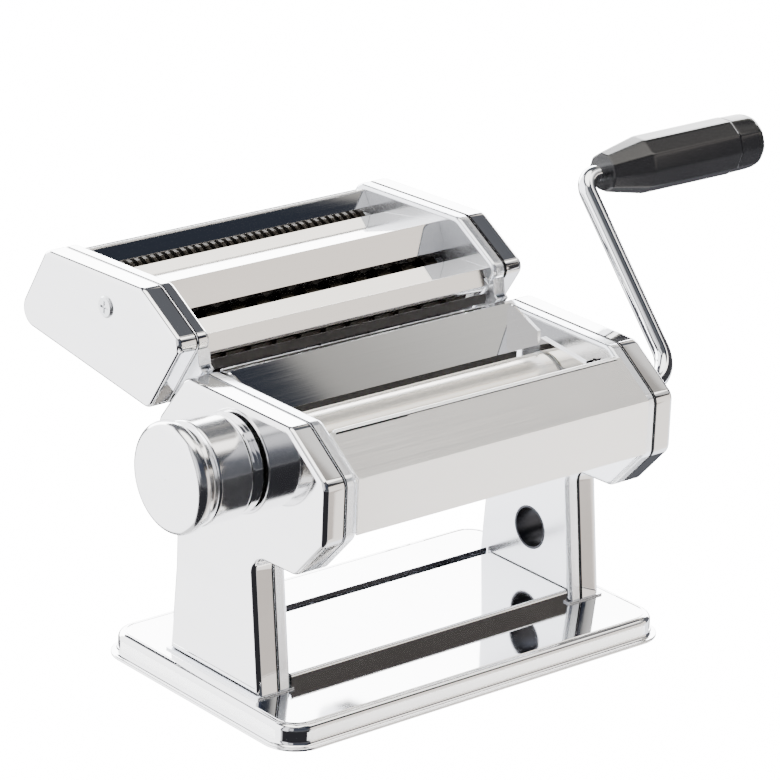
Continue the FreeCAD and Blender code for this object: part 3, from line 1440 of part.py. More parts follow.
def comb(label, y, z, kind, offset, side):
    """A bar under the shaft whose fingers lie in the grooves and strip the strands off the core."""
    body = new_body(label, y, z)
    strip = f"{kind}_strip"
    count = f"{kind}_ring_count"
    pitch = f"(2 * {strip})"
    sign = "" if side > 0 else "-"
    edge = f"(cutter_spacing / 2 - comb_exit)"
    low = "comb_bar_top"
    gap = "(cutter_core_radius + comb_root_gap)"
    bar = box_points(f"{sign}(-{edge} * 0.6)", f"{sign}{edge}", f"-({low} + comb_bar_height)", f"-{low}")
    across_pad(body, FRAME_FACE, [bar])
    finger = [
        (f"{sign}{edge} * 0.35", f"-{low}"), (f"{sign}{edge}", f"-{low}"), (f"{sign}{edge}", f"-{gap} * 0.64"),
        (f"{sign}{edge} * 0.66", f"-{gap} * 0.84"), (f"{sign}{edge} * 0.35", f"-{gap} * 0.98"),
    ]
    width = f"({strip} * 0.7)"
    start = f"-({count} * {pitch} / 2) + {1 - offset} * {strip} + ({strip} - {width}) / 2"
    sketch = new_sketch(body, "YZ_Plane", start)
    draw_outline(sketch, finger)
    tooth = extrude(body, sketch, width)
    repeat_along(body, tooth, f"{pitch} * ({count} - 1)", count)
    return body


def build():
    fill_sheet()
    sides = ((1, "right"), (-1, "left"))
    base_tray()
    foot_pads()
    base_screws()
    cross_channel()
    for side, name in sides:
        inner_frame(side, name)
        outer_cover(side, name)
        eccentric_bush(side, name)
        cutter_frame(side, name)
        cutter_cover(side, name)
    clamp_socket()
    pairs = {"leg_feet": leg_foot, "side_guards": side_guard,
             "rails": rail, "rail_channels": rail_channel}
    for label, maker in pairs.items():
        group(label, [maker(side, name) for side, name in sides])
    long_bush = "bush_flange_length + bush_length"
    group("front_bushes", [bush(f"{name}_front_bush", side, "front_axis", long_bush, True)
                           for side, name in sides])
    group("rear_bushes", [bush(f"{name}_rear_bush", side, REAR_AXIS, "rear_bush_length", False)
                          for side, name in sides])
    tie_rods()
    front_panel()
    dough_guide()
    front_scraper()
    front_roller()
    rear_roller()
    roller_gears()
    rear_scraper()
    eccentric_link()
    knob_shaft()
    index_disc()
    knob()
    detent_pin()
    knob_spring()
    knob_nut()
    crank_rod()
    crank_grip()
    grip_cap()
    grip_retainer()
    cutter_plates()
    cutter_tie_rods()
    cutter_screws()
    cutter_bushes()
    combs = {"fine": [], "wide": []}
    for label, y, z, kind, offset, driven in cutter_shafts():
        cutter_shaft(label, y, z, kind, offset, driven)
        phase = "180 / cutter_gear_teeth" if offset else "360"
        cutter_gear(label.replace("cutter", "gear"), y, z, phase)
        combs[kind].append(comb(label.replace("cutter", "comb"), y, z, kind, offset, -1 if offset else 1))
    for kind, pair in combs.items():
        group(f"{kind}_combs", pair)


def check_and_write():
    doc.recompute()
    for thing in doc.Objects:
        if "Invalid" in thing.State or "Error" in thing.State:
            raise ValueError(f"{thing.Name} ({thing.Label}) failed: {thing.State}")
    os.makedirs("parts", exist_ok=True)
    for body in bodies:
        shape = body.Shape
        if shape.isNull() or not shape.isValid() or not shape.Solids:
            raise ValueError(body.Label + " has no valid solid")
        shape.exportStep(f"parts/{body.Label}.step")
    print(len(bodies), "nodes")


build()
check_and_write()
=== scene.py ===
import json
import math
import bmesh
import bpy
from mathutils import Matrix, Vector


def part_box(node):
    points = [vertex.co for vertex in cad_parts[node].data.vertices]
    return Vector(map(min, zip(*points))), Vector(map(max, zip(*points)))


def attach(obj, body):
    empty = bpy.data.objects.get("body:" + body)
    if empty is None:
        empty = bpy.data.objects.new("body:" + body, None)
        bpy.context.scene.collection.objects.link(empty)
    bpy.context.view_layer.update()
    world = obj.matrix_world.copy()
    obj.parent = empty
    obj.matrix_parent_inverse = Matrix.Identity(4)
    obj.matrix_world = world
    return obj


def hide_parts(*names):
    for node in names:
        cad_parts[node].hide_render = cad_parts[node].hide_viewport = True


# Looks of the hand-cranked pasta machine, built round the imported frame.
# The frame is in metres, +Z up, with the crank at +X. Sizes written here are in mm unless a comment says otherwise.

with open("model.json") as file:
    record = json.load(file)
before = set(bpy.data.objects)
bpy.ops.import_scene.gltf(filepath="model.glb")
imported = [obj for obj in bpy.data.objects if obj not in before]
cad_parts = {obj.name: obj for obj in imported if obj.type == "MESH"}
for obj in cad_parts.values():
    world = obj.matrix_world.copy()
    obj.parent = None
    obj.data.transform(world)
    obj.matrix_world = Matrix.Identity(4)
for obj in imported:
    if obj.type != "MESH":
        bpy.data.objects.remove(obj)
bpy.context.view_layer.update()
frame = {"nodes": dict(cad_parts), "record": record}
nodes = frame["nodes"]
MM = 0.001
BODY_OF = {node: body for body, members in frame["record"]["behaviour"]["bodies"].items() for node in members}


# Materials: each helper takes the material's node tree and gives back an output socket

def new_material(name, **values):
    material = bpy.data.materials.new(name)
    material.use_nodes = True
    shader = material.node_tree.nodes["Principled BSDF"]
    for key, value in values.items():
        shader.inputs[key.replace("_", " ")].default_value = value
    return material, material.node_tree, shader


def place(tree, scale=(1, 1, 1), turn=(0, 0, 0)):
    """Position on the piece in metres, stretched by scale."""
    source = tree.nodes.new("ShaderNodeTexCoord")
    mapping = tree.nodes.new("ShaderNodeMapping")
    mapping.inputs["Scale"].default_value = scale
    mapping.inputs["Rotation"].default_value = turn
    tree.links.new(source.outputs["Object"], mapping.inputs["Vector"])
    return mapping.outputs["Vector"]


def noise(tree, vector, scale, detail, rough, distortion=0.0):
    node = tree.nodes.new("ShaderNodeTexNoise")
    node.inputs["Scale"].default_value = scale
    node.inputs["Detail"].default_value = detail
    node.inputs["Roughness"].default_value = rough
    node.inputs["Distortion"].default_value = distortion
    tree.links.new(vector, node.inputs["Vector"])
    return node.outputs["Fac"]


def ranged(tree, value, low, high, start=0.3, end=0.7):
    """Maps start..end to low..high. The defaults take the middle of a noise."""
    node = tree.nodes.new("ShaderNodeMapRange")
    node.inputs["From Min"].default_value = start
    node.inputs["From Max"].default_value = end
    node.inputs["To Min"].default_value = low
    node.inputs["To Max"].default_value = high
    tree.links.new(value, node.inputs["Value"])
    return node.outputs["Result"]


def maths(tree, operation, first, second=None):
    node = tree.nodes.new("ShaderNodeMath")
    node.operation = operation
    for socket, value in zip(node.inputs, (first, second)):
        if isinstance(value, (int, float)):
            socket.default_value = value
        elif value is not None:
            tree.links.new(value, socket)
    return node.outputs["Value"]


def tones(tree, value, *stops):
    """A colour ramp: each stop is a place from 0 to 1 and a colour."""
    node = tree.nodes.new("ShaderNodeValToRGB")
    ramp = node.color_ramp
    while len(ramp.elements) < len(stops):
        ramp.elements.new(0.5)
    for element, (spot, colour) in zip(ramp.elements, stops):
        element.position = spot
        element.color = (*colour, 1)
    tree.links.new(value, node.inputs["Fac"])
    return node.outputs["Color"]


def bump(tree, shader, *layers):
    """Stacks bumps on the shader: each layer is a height socket and its depth in metres."""
    normal = None
    for height, depth in layers:
        node = tree.nodes.new("ShaderNodeBump")
        node.inputs["Strength"].default_value = 1.0
        node.inputs["Distance"].default_value = depth
        tree.links.new(height, node.inputs["Height"])
        if normal:
            tree.links.new(normal, node.inputs["Normal"])
        normal = node.outputs["Normal"]
    tree.links.new(normal, shader.inputs["Normal"])


def chrome(name, tint, low, high, wave):
    """Plated sheet: faint waves left by the press, wiping marks and a few specks in the gloss. wave is in metres."""
    material, tree, shader = new_material(name, Metallic=1.0)
    flat = place(tree)
    smears = noise(tree, place(tree, (1, 0.4, 2.2), (0.3, 0.2, 0.5)), 26, 4, 0.6, 0.4)
    specks = noise(tree, flat, 900, 2, 0.5)
    rough = maths(tree, "ADD", ranged(tree, smears, low, high), ranged(tree, specks, 0, 0.02, 0.6, 0.8))
    tree.links.new(rough, shader.inputs["Roughness"])
    dark = tuple(c * 0.95 for c in tint)
    tree.links.new(tones(tree, smears, (0.25, dark), (0.7, tint)), shader.inputs["Base Color"])
    bump(tree, shader, (noise(tree, flat, 16, 1, 0.4), wave), (noise(tree, flat, 420, 2, 0.5), 0.0000012))
    return material


def brushed(name, tint, stretch, low, high, depth=0.000004, metal=1.0):
    """Brushed sheet: fine lines along the stretched axis, in both the gloss and the bump."""
    material, tree, shader = new_material(name, Metallic=metal)
    lines = noise(tree, place(tree, stretch), 1.0, 4, 0.65)
    broad = noise(tree, place(tree), 14, 3, 0.5, 0.3)
    rough = maths(tree, "ADD", ranged(tree, lines, low, high), ranged(tree, broad, -0.2 * low, 0.25 * low))
    tree.links.new(rough, shader.inputs["Roughness"])
    shade = maths(tree, "ADD", maths(tree, "MULTIPLY", lines, 0.6), maths(tree, "MULTIPLY", broad, 0.4))
    dark = tuple(c * 0.94 for c in tint)
    tree.links.new(tones(tree, shade, (0.3, dark), (0.7, tint)), shader.inputs["Base Color"])
    bump(tree, shader, (noise(tree, place(tree), 12, 1, 0.4), 0.00002), (lines, depth))
    return material


def plastic(name, tint, low, high, gloss=0.5, grain=300, depth=0.00001):
    """Moulded plastic or rubber: an even grain, and a gloss that changes slowly."""
    material, tree, shader = new_material(name, Specular_IOR_Level=gloss)
    fine = noise(tree, place(tree), grain, 3, 0.6)
    broad = noise(tree, place(tree), 30, 3, 0.5)
    tree.links.new(ranged(tree, broad, low, high), shader.inputs["Roughness"])
    tree.links.new(tones(tree, fine, (0.3, tuple(c * 0.8 for c in tint)), (0.7, tint)), shader.inputs["Base Color"])
    bump(tree, shader, (fine, depth))
    return material


def turned_metal(name, tint, low, high, lines, metal=1.0):
    """Machined bar: fine rings round the X axis and a slow change of tone along it."""
    material, tree, shader = new_material(name, Metallic=metal)
    rings = noise(tree, place(tree, (lines, 3, 3)), 1.0, 3, 0.6)
    broad = noise(tree, place(tree), 22, 3, 0.5)
    tree.links.new(ranged(tree, rings, low, high), shader.inputs["Roughness"])
    shade = maths(tree, "ADD", maths(tree, "MULTIPLY", rings, 0.5), maths(tree, "MULTIPLY", broad, 0.5))
    tree.links.new(tones(tree, shade, (0.3, tuple(c * 0.93 for c in tint)), (0.7, tint)), shader.inputs["Base Color"])
    bump(tree, shader, (rings, 0.000001))
    return material


# chrome: name, tint, roughness from and to, depth of the waves in metres
# brushed: name, tint, scale of the lines along X, Y and Z, roughness from and to, depth of the lines, metal's share
# turned_metal: name, tint, roughness from and to, scale of the rings along X, metal's share
# plastic: name, tint, roughness from and to, gloss, scale of the grain, its depth in metres
plated = chrome("plated_sheet", (0.93, 0.93, 0.935), 0.025, 0.07, 0.00003)
plated_bar = chrome("plated_bar", (0.90, 0.91, 0.92), 0.03, 0.08, 0.00001)
knob_chrome = chrome("knob_chrome", (0.93, 0.93, 0.935), 0.13, 0.19, 0.00001)
panel_steel = brushed("panel_steel", (0.88, 0.865, 0.845), (14, 1500, 1500), 0.12, 0.2, 0.000001, 0.86)
frame_steel = brushed("frame_steel", (0.86, 0.88, 0.92), (900, 900, 12), 0.13, 0.2, 0.0000008, 0.86)
# This sleeve steel is near black: painted shade that darkens the clamp's hole and the cross channel's back edge.
sleeve_painted_shade = brushed("sleeve_painted_shade", (0.05, 0.052, 0.06), (300, 900, 900), 0.25, 0.35)
plate_steel = brushed("plate_steel", (0.90, 0.89, 0.87), (12, 1300, 1300), 0.03, 0.05, 0.0000006)
rim_steel = brushed("rim_steel", (0.92, 0.92, 0.92), (60, 900, 900), 0.12, 0.18, 0.0000006, 0.72)
lip_steel = brushed("lip_steel", (0.94, 0.94, 0.93), (12, 900, 900), 0.1, 0.18, 0.0000006, 0.6)
zinc = brushed("zinc_plate", (0.75, 0.76, 0.77), (300, 300, 300), 0.25, 0.4)
roller_metal = turned_metal("roller_metal", (0.95, 0.91, 0.84), 0.2, 0.24, 2600, 0.74)
# The cutters' near-black tint is painted shade, standing for the dark under the cutter head.
cutter_metal = turned_metal("cutter_metal", (0.032, 0.027, 0.021), 0.42, 0.55, 2600)
gear_steel = turned_metal("gear_steel", (0.5, 0.5, 0.49), 0.35, 0.5, 1500)
nylon = plastic("white_nylon", (0.86, 0.85, 0.82), 0.4, 0.55)
# This nylon is near black as painted shade: the combs and the strip under the cutters stand for the dark under the
# cutter head.
nylon_painted_shade = plastic("nylon_painted_shade", (0.05, 0.045, 0.04), 0.4, 0.55)
black = plastic("black_grip", (0.005, 0.005, 0.0055), 0.16, 0.24, 0.5, 700, 0.000004)
rubber = plastic("dark_rubber", (0.03, 0.03, 0.03), 0.7, 0.85, 0.3, 500, 0.00004)
seam_shadow = plastic("seam_shadow", (0.005, 0.005, 0.006), 0.6, 0.8, 0.1)

FINISHES = {
    "mirror_chrome": plated, "brushed_steel": frame_steel, "zinc_fasteners": zinc, "roller_metal": roller_metal,
    "cutter_metal": cutter_metal, "gear_steel": gear_steel, "white_nylon": nylon, "black_grip": black,
    "dark_rubber": rubber,
}
OWN_FINISH = {
    "front_panel": panel_steel, "dough_guide": plate_steel, "side_guards": plate_steel,
    "cutter_rear_plate": plate_steel, "cutter_middle_plate": plate_steel, "cutter_front_plate": plate_steel,
    "crank_rod": plated_bar, "clamp_socket": sleeve_painted_shade, "fine_combs": nylon_painted_shade, "wide_combs": nylon_painted_shade,
    "cross_channel": plated, "knob": knob_chrome, "knob_cap": knob_chrome, "cutter_left_frame": plated,
}


def dress(node, material):
    node.data.materials.clear()
    node.data.materials.append(material)


for part in frame["record"]["subparts"]:
    name = part["node"]
    dress(nodes[name], OWN_FINISH.get(name) or FINISHES[part["material_slot"]])


# Meshes

def new_object(name, mesh, material):
    piece = bpy.data.objects.new(name, mesh)
    bpy.context.scene.collection.objects.link(piece)
    mesh.materials.append(material)
    return piece


def smooth(mesh, angle):
    """Smooth shading, but sharp where two faces differ by more than the angle in degrees."""
    mesh.polygons.foreach_set("use_smooth", [True] * len(mesh.polygons))
    mesh.set_sharp_from_angle(angle=math.radians(angle))


def even_light(piece):
    """Large faces keep their own normals where they meet a fillet."""
    modifier = piece.modifiers.new("even_light", "WEIGHTED_NORMAL")
    modifier.keep_sharp = True
    modifier.weight = 100


def lofted(name, rings, material, angle, closed_ends=True):
    """A skin over rings of equal point counts, in metres. angle is the one that smooth() takes."""
    mesh = bpy.data.meshes.new(name)
    count = len(rings[0])
    verts = [point for ring in rings for point in ring]
    faces = []
    for r in range(len(rings) - 1):
        for i in range(count):
            j = (i + 1) % count
            faces.append((r * count + i, r * count + j, (r + 1) * count + j, (r + 1) * count + i))
    if closed_ends:
        faces.append(tuple(range(count)))
        faces.append(tuple((len(rings) - 1) * count + i for i in range(count)))
    mesh.from_pydata(verts, [], faces)
    body = bmesh.new()
    body.from_mesh(mesh)
    bmesh.ops.recalc_face_normals(body, faces=body.faces)
    body.to_mesh(mesh)
    body.free()
    smooth(mesh, angle)
    piece = new_object(name, mesh, material)
    even_light(piece)
    return piece


def stand_in(piece, node):
    """Puts the piece in the node's place and on its body."""
    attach(piece, BODY_OF[node])
    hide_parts(node)


# Sheet pieces: the CAD's own form with every sharp edge broken, so that rims and seams catch the light. The seams'
# grooves also take a near-black material: painted shade.
# SOFTENED says how wide each piece's sharp edges are rounded.

SOFTENED = {
    0.35: ["left_cover", "right_cover", "left_inner_frame", "right_inner_frame", "cutter_left_cover",
           "cutter_right_cover", "cutter_left_frame", "cutter_right_frame"],
    0.25: ["leg_feet", "side_guards", "index_disc", "rails", "rail_channels"],
    0.18: ["front_panel", "dough_guide", "cutter_rear_plate", "cutter_middle_plate", "cutter_front_plate",
           "front_scraper", "clamp_socket"],
}
SEAM = 81.5  # from the middle of the machine to where a cover meets its frame
SEAM_WIDTH = 0.85  # of the dark groove's rounding on either side
SEAM_REACH = 0.02  # a point this near the seam lies on it
DRAWN_FROM = 88  # a cover's drawn rim lies farther out than this
DRAWN_WIDTH = 0.85
FACES_OUT = 0.6  # share of a normal along X above which a face belongs to the cover's outer face
FACES_ROUND = 0.1  # and below which it belongs to the flange round it
FACES_SIDEWAYS = 0.99  # a face at the seam that turns this far along X isn't the groove's
SHARP_ANGLE = math.radians(40)
DRAWN_ANGLES = math.radians(38), math.radians(52)
MERGE_DISTANCE = 1e-6  # metres
FLAT_ANGLE = math.radians(0.2)
SECOND_MATERIAL = 1


def at_seam(point, reach):
    return abs(abs(point.x) / MM - SEAM) < reach


def on_seam(edge):
    return all(at_seam(v.co, SEAM_REACH) for v in edge.verts)


def fold(edge):
    """The angle between an edge's two faces in radians, or 0 where it hasn't two."""
    return edge.calc_face_angle(0)


def sharp_edges(body):
    """Sharp edges off the seam."""
    return [edge for edge in body.edges if fold(edge) > SHARP_ANGLE and not on_seam(edge)]


def seam_edges(body):
    """The outer edge of a tray's flange, where it meets the next tray."""
    middle = sum((v.co for v in body.verts), Vector()) / len(body.verts)
    edges = []
    for edge in body.edges:
        if fold(edge) > SHARP_ANGLE and on_seam(edge):
            flange = min(edge.link_faces, key=lambda face: abs(face.normal.x))
            away = flange.calc_center_median() - middle
            if away.y * flange.normal.y + away.z * flange.normal.z > 0:
                edges.append(edge)
    return edges


def drawn_edges(body):
    """The slanting rim round a cover's outer face: its two edges are rounded until they meet."""
    edges = []
    for edge in body.edges:
        if all(abs(v.co.x) > DRAWN_FROM * MM for v in edge.verts) and DRAWN_ANGLES[0] < fold(edge) < DRAWN_ANGLES[1]:
            facing = [abs(face.normal.x) for face in edge.link_faces]
            if max(facing) > FACES_OUT or min(facing) < FACES_ROUND:
                edges.append(edge)
    return edges


def rounded(body, edges, width, segments):
    bmesh.ops.bevel(body, geom=edges, offset=width * MM, offset_type="OFFSET", segments=segments, profile=0.5,
                    affect="EDGES", clamp_overlap=True)


def softened(name, width):
    body = bmesh.new()
    body.from_mesh(nodes[name].data)
    bmesh.ops.remove_doubles(body, verts=body.verts, dist=MERGE_DISTANCE)
    bmesh.ops.dissolve_limit(body, angle_limit=FLAT_ANGLE, verts=body.verts, edges=body.edges)
    tray = name.endswith(("_cover", "_frame"))
    if tray:
        rounded(body, seam_edges(body), SEAM_WIDTH, 2)
        # The groove's faces get the seam_shadow material: painted shade.
        for face in body.faces:
            if at_seam(face.calc_center_median(), SEAM_WIDTH + 0.05) and abs(face.normal.x) < FACES_SIDEWAYS:
                face.material_index = SECOND_MATERIAL
    if name.endswith("_cover"):
        rounded(body, drawn_edges(body), DRAWN_WIDTH, 4)
    rounded(body, sharp_edges(body), width, 2)
    mesh = bpy.data.meshes.new(name + "_dressed")
    body.to_mesh(mesh)
    body.free()
    smooth(mesh, 40)
    piece = new_object(name + "_dressed", mesh, nodes[name].data.materials[0])
    if tray:
        mesh.materials.append(seam_shadow)
    even_light(piece)
    stand_in(piece, name)


for width, names in SOFTENED.items():
    for name in names:
        softened(name, width)


# Grip: ten flat sides with softened edges, a blunt neck and a rounded end

GRIP_SIDES = 10
CORNER_SOFTNESS = 0.008  # share of the radius that the ten long edges lose
NECK = [(0.0, 5.2), (0.0, 7.9), (0.3, 8.4), (0.9, 8.7), (10.0, 10.55), (19.6, 12.5), (20.4, 12.62)]
END_SHORTER = 3.6  # than the CAD's cap
END_ROUNDING = 5.0
grip_low, grip_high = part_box("crank_grip")
cap_low, cap_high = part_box("grip_cap")
grip_y = (cap_low.y + cap_high.y) / 2
grip_z = (cap_low.z + cap_high.z) / 2


def soft_sided(x, radius, flatness, steps=16):
    """A ring from a circle (flatness 0) to a regular polygon with rounded corners (flatness 1), in metres."""
    ring = []
    half = math.pi / GRIP_SIDES
    for i in range(GRIP_SIDES * steps):
        angle = 2 * math.pi * i / (GRIP_SIDES * steps)
        off = (angle + half) % (2 * half) - half
        flat = math.cos(half) / math.cos(half - abs(off))
        corner = abs(off) / half
        rounded_flat = flat - (1 - corner) ** 10 * CORNER_SOFTNESS
        reach = radius * (1 - flatness * (1 - rounded_flat))
        ring.append((x, grip_y + reach * math.cos(angle), grip_z + reach * math.sin(angle)))
    return ring


def grip_body():
    length = (grip_high.x - grip_low.x) / MM
    profile = NECK + [(21.2, 12.7), (length * 0.6, 12.75), (length * 0.8, 12.8), (length - 0.8, 12.8),
                      (length - 0.3, 12.65)]
    rings = [soft_sided(grip_low.x + x * MM, radius * MM, 1.0) for x, radius in profile]
    rings.append(soft_sided(grip_high.x, 11.9 * MM, 0.6))
    stand_in(lofted("grip_body", rings, black, 14), "crank_grip")


def grip_end():
    length = (cap_high.x - cap_low.x) / MM - END_SHORTER
    profile = [(0.0, 11.6), (0.3, 12.3), (0.9, 12.5), (length - 6.0, 12.35)]
    for step in range(9):
        turn = math.pi / 2 * step / 9
        profile.append((length - END_ROUNDING + END_ROUNDING * math.sin(turn), 7.2 + END_ROUNDING * math.cos(turn)))
    profile += [(length, 7.0), (length, 1.0)]
    rings = [soft_sided(cap_low.x + x * MM, radius * MM, 0.75 if x < length - 4.5 else 0.35) for x, radius in profile]
    stand_in(lofted("grip_end", rings, black, 24), "grip_cap")


grip_body()
grip_end()


# Knob: turned rings with rounded rims, hollow at the back for the spring and open to the shaft's web

KNOB_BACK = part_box("knob")[1].x / MM
CAP_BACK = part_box("knob_cap")[1].x / MM
CAP_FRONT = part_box("knob_cap")[0].x / MM


def rounding(middle_x, middle_radius, radius, start, end, steps=6):
    """Points of an arc in the X-radius plane; 0 degrees points outwards, 90 towards -X."""
    turns = [math.radians(start + (end - start) * i / steps) for i in range(steps + 1)]
    return [(middle_x - radius * math.sin(turn), middle_radius + radius * math.cos(turn)) for turn in turns]


def turned_piece(name, profile, node, material, count=128):
    """A turned piece about the node's own axis: profile holds places along X and radii."""
    low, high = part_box(node)
    y = (low.y + high.y) / 2
    z = (low.z + high.z) / 2
    turns = [2 * math.pi * i / count for i in range(count)]
    rings = [[(x * MM, y + radius * MM * math.cos(turn), z + radius * MM * math.sin(turn)) for turn in turns]
             for x, radius in profile]
    stand_in(lofted(name, rings, material, 30, False), node)


def knob_profile():
    back_rim = rounding(KNOB_BACK - 0.8, 20.9, 0.8, -90, 0)
    waist = rounding(KNOB_BACK - 14.9, 20.3, 1.4, 0, 80)
    front = [(CAP_BACK + 4.2, 19.7), (CAP_BACK + 3.6, 19.6), (CAP_BACK, 19.6), (CAP_BACK, 9.6)]
    hollow = [(KNOB_BACK - 7, 9.6), (KNOB_BACK - 7, 4.4), (KNOB_BACK - 4, 4.4), (KNOB_BACK - 4, 11.5)]
    return [(KNOB_BACK, 11.5)] + back_rim + waist + front + hollow + [(KNOB_BACK, 11.5)]


def disc_profile():
    back_rim = rounding(CAP_BACK - 0.7, 22.4, 0.7, -90, 0)
    front_rim = rounding(CAP_FRONT + 3.7, 19.4, 3.6, 0, 88, 10)
    front_rim[0] = (CAP_BACK - 1.9, 23.08)
    face = [(CAP_FRONT + 0.04, 12.0), (CAP_FRONT + 0.01, 5.0), (CAP_FRONT, 0.2)]
    return [(CAP_BACK, 0.2)] + back_rim + front_rim + face


turned_piece("knob_body", knob_profile(), "knob", knob_chrome)
turned_piece("knob_front", disc_profile(), "knob_cap", knob_chrome)


# Base: a pressed tray with a soft shoulder, a turned-out rim and a raised line round its field

TRAY_CORNER = 14.9
RIM_ROUNDING = 2.0
SHOULDER = 3.0
LINE_HEIGHT = 0.25
RIM_DEPTH = 2.2  # below this depth the upright faces are satin
UPRIGHT = 0.985  # share of an upright face's normal along X or Y
tray_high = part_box("base_tray")[1]


def tray_ring(inset, z, steps=14):
    """The tray's outline, moved in by inset."""
    corner = max(TRAY_CORNER - inset, 0.4) * MM
    half_x = tray_high.x - inset * MM - corner
    half_y = tray_high.y - inset * MM - corner
    ring = []
    for quarter, (side_x, side_y) in enumerate(((1, 1), (-1, 1), (-1, -1), (1, -1))):
        for i in range(steps + 1):
            turn = math.pi / 2 * (quarter + i / steps)
            ring.append((side_x * half_x + corner * math.cos(turn), side_y * half_y + corner * math.sin(turn),
                         z * MM))
    return ring


def tray():
    top = tray_high.z / MM
    inside = [(4.4, top - 1.2), (4.1, top - 1.5), (4.1, 0.2), (3.9, 0.0)]
    edge = [(0.4, 0.0), (0.1, 0.15), (0.0, 0.5), (0.1, 0.95), (0.45, 1.2)]
    rim = [(0.9 + RIM_ROUNDING * math.sin(turn), 1.2 + RIM_ROUNDING - RIM_ROUNDING * math.cos(turn))
           for turn in (math.pi / 2 * i / 7 for i in range(8))]
    shoulder = [(5.9 - SHOULDER * math.cos(turn), top - SHOULDER + SHOULDER * math.sin(turn))
                for turn in (math.pi / 2 * i / 10 for i in range(11))]
    line = [(5.95, top + LINE_HEIGHT), (6.3, top + LINE_HEIGHT), (6.35, top)]
    path = inside + edge + rim + shoulder + line
    piece = lofted("tray_skin", [tray_ring(inset, z) for inset, z in path], plated, 50)
    piece.data.materials.append(rim_steel)
    for face in piece.data.polygons:
        upright = max(abs(face.normal.x), abs(face.normal.y)) > UPRIGHT
        if upright and face.center.z < (top - RIM_DEPTH) * MM:
            face.material_index = SECOND_MATERIAL
    stand_in(piece, "base_tray")


tray()


# Small details along X: the plates' lips; dark strips that close the view to the floor and paint shade under the
# panel's lip, behind the dough guide, under the cutters and along the channel's back edge; and the panel's tabs with
# their slots, whose dark is painted shade

def straight_bar(name, outline, half_length, material, node, middle=0.0):
    """A bar along X on the node's body: outline holds pairs of Y and Z."""
    rings = [[((middle + side * half_length) * MM, y * MM, z * MM) for y, z in outline] for side in (-1, 1)]
    piece = lofted(name, rings, material, 30)
    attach(piece, BODY_OF[node])


def bead(y, z, radius, count=20):
    turns = [2 * math.pi * i / count for i in range(count)]
    return [(y + radius * math.cos(turn), z + radius * math.sin(turn)) for turn in turns]


def lip_strip(width):
    """A thin strip on the panel's slope, just below its lip: width is measured down the slope."""
    return [(-50.9 - 0.87 * down - 0.49 * off, 127.2 - 0.49 * down + 0.87 * off)
            for down, off in ((0.7, -0.1), (0.7 + width, -0.1), (0.7 + width, 0.15), (0.7, 0.15))]


straight_bar("panel_lip", bead(-50.5, 126.95, 0.95), 74.0, lip_steel, "front_panel")
straight_bar("lip_shadow", lip_strip(0.65), 18.0, seam_shadow, "front_panel", middle=-56.0)
straight_bar("lip_shadow_thin", lip_strip(0.25), 56.0, seam_shadow, "front_panel", middle=18.0)
straight_bar("rear_plate_lip", bead(115.4, 154.0, 0.8), 74.4, lip_steel, "cutter_rear_plate")
# A dark rubber strip behind the dough guide's foot: painted shade over the rear roller.
straight_bar("guide_shade_strip", [(8.8, 107.2), (9.6, 107.2), (9.6, 120.0), (8.8, 119.4)], 73.3, rubber, "dough_guide")
# A dark strip in front of the wide cutter: painted shade under the cutter head.
straight_bar("cutter_shade_strip", [(31.1, 131.2), (31.9, 131.2), (31.9, 127.0), (31.1, 127.0)], 74.0, nylon_painted_shade,
             "cutter_front_plate")
# A dark bar along the cross channel's back edge: a painted shade line.
straight_bar("channel_shade_line", [(22.8, 15.4), (23.6, 15.4), (23.6, 17.1), (23.3, 17.4), (22.9, 17.2)], 74.2,
             sleeve_painted_shade, "cross_channel")
# Each frame's tab slot is a near-black bar: painted shade inside the slot.
TAB_SLOT = [(-41.4, 121.0), (-36.4, 120.6), (-36.4, 122.6), (-41.4, 123.0)]
TAB = [(-40.4, 121.5), (-37.4, 121.2), (-37.4, 122.0), (-40.4, 122.3)]
for side, frame_node in ((-1, "left_inner_frame"), (1, "right_inner_frame")):
    straight_bar(f"tab_slot_shade_{side + 1}", TAB_SLOT, 0.2, seam_shadow, frame_node, middle=side * 74.8)
    straight_bar(f"panel_tab_{side + 1}", TAB, 0.35, zinc, "front_panel", middle=side * 74.6)


# Camera: worked out from the photo's straight edges

CAMERA_TURN = -40.368, 20.587, 2.290  # azimuth, elevation and roll in degrees
CAMERA_TARGET = -3.324, 0.247, 113.567
CAMERA_DISTANCE = 1.67167  # metres
FOCAL_PIXELS = 4092.43
IMAGE_PIXELS = 780
SENSOR_WIDTH = 36


def add_camera():
    azimuth, elevation, roll = (math.radians(angle) for angle in CAMERA_TURN)
    ahead = Vector((-math.sin(azimuth) * math.cos(elevation), math.cos(azimuth) * math.cos(elevation),
                    -math.sin(elevation)))
    level = Vector((math.cos(azimuth), math.sin(azimuth), 0))
    rise = level.cross(ahead)
    right = math.cos(roll) * level + math.sin(roll) * rise
    up = -math.sin(roll) * level + math.cos(roll) * rise
    spot = Vector(CAMERA_TARGET) * MM - ahead * CAMERA_DISTANCE
    camera = bpy.data.objects.new("camera", bpy.data.cameras.new("camera"))
    camera.data.sensor_width = SENSOR_WIDTH
    camera.data.lens = FOCAL_PIXELS / IMAGE_PIXELS * SENSOR_WIDTH
    camera.data.clip_start = 0.05
    camera.data.clip_end = 50
    turn = Matrix((right, up, -ahead)).transposed().to_4x4()
    camera.matrix_world = Matrix.Translation(spot) @ turn
    bpy.context.scene.collection.objects.link(camera)
    bpy.context.scene.camera = camera


# Studio: a pale floor, and a tent of light panels with dark gaps between them for the plated sheets to mirror.
# The mirrors see the tent below the horizon too, as they would on a glass table.

FLOOR_SIZE = 8  # metres, to each side
FLOOR_LIGHT = 16.0


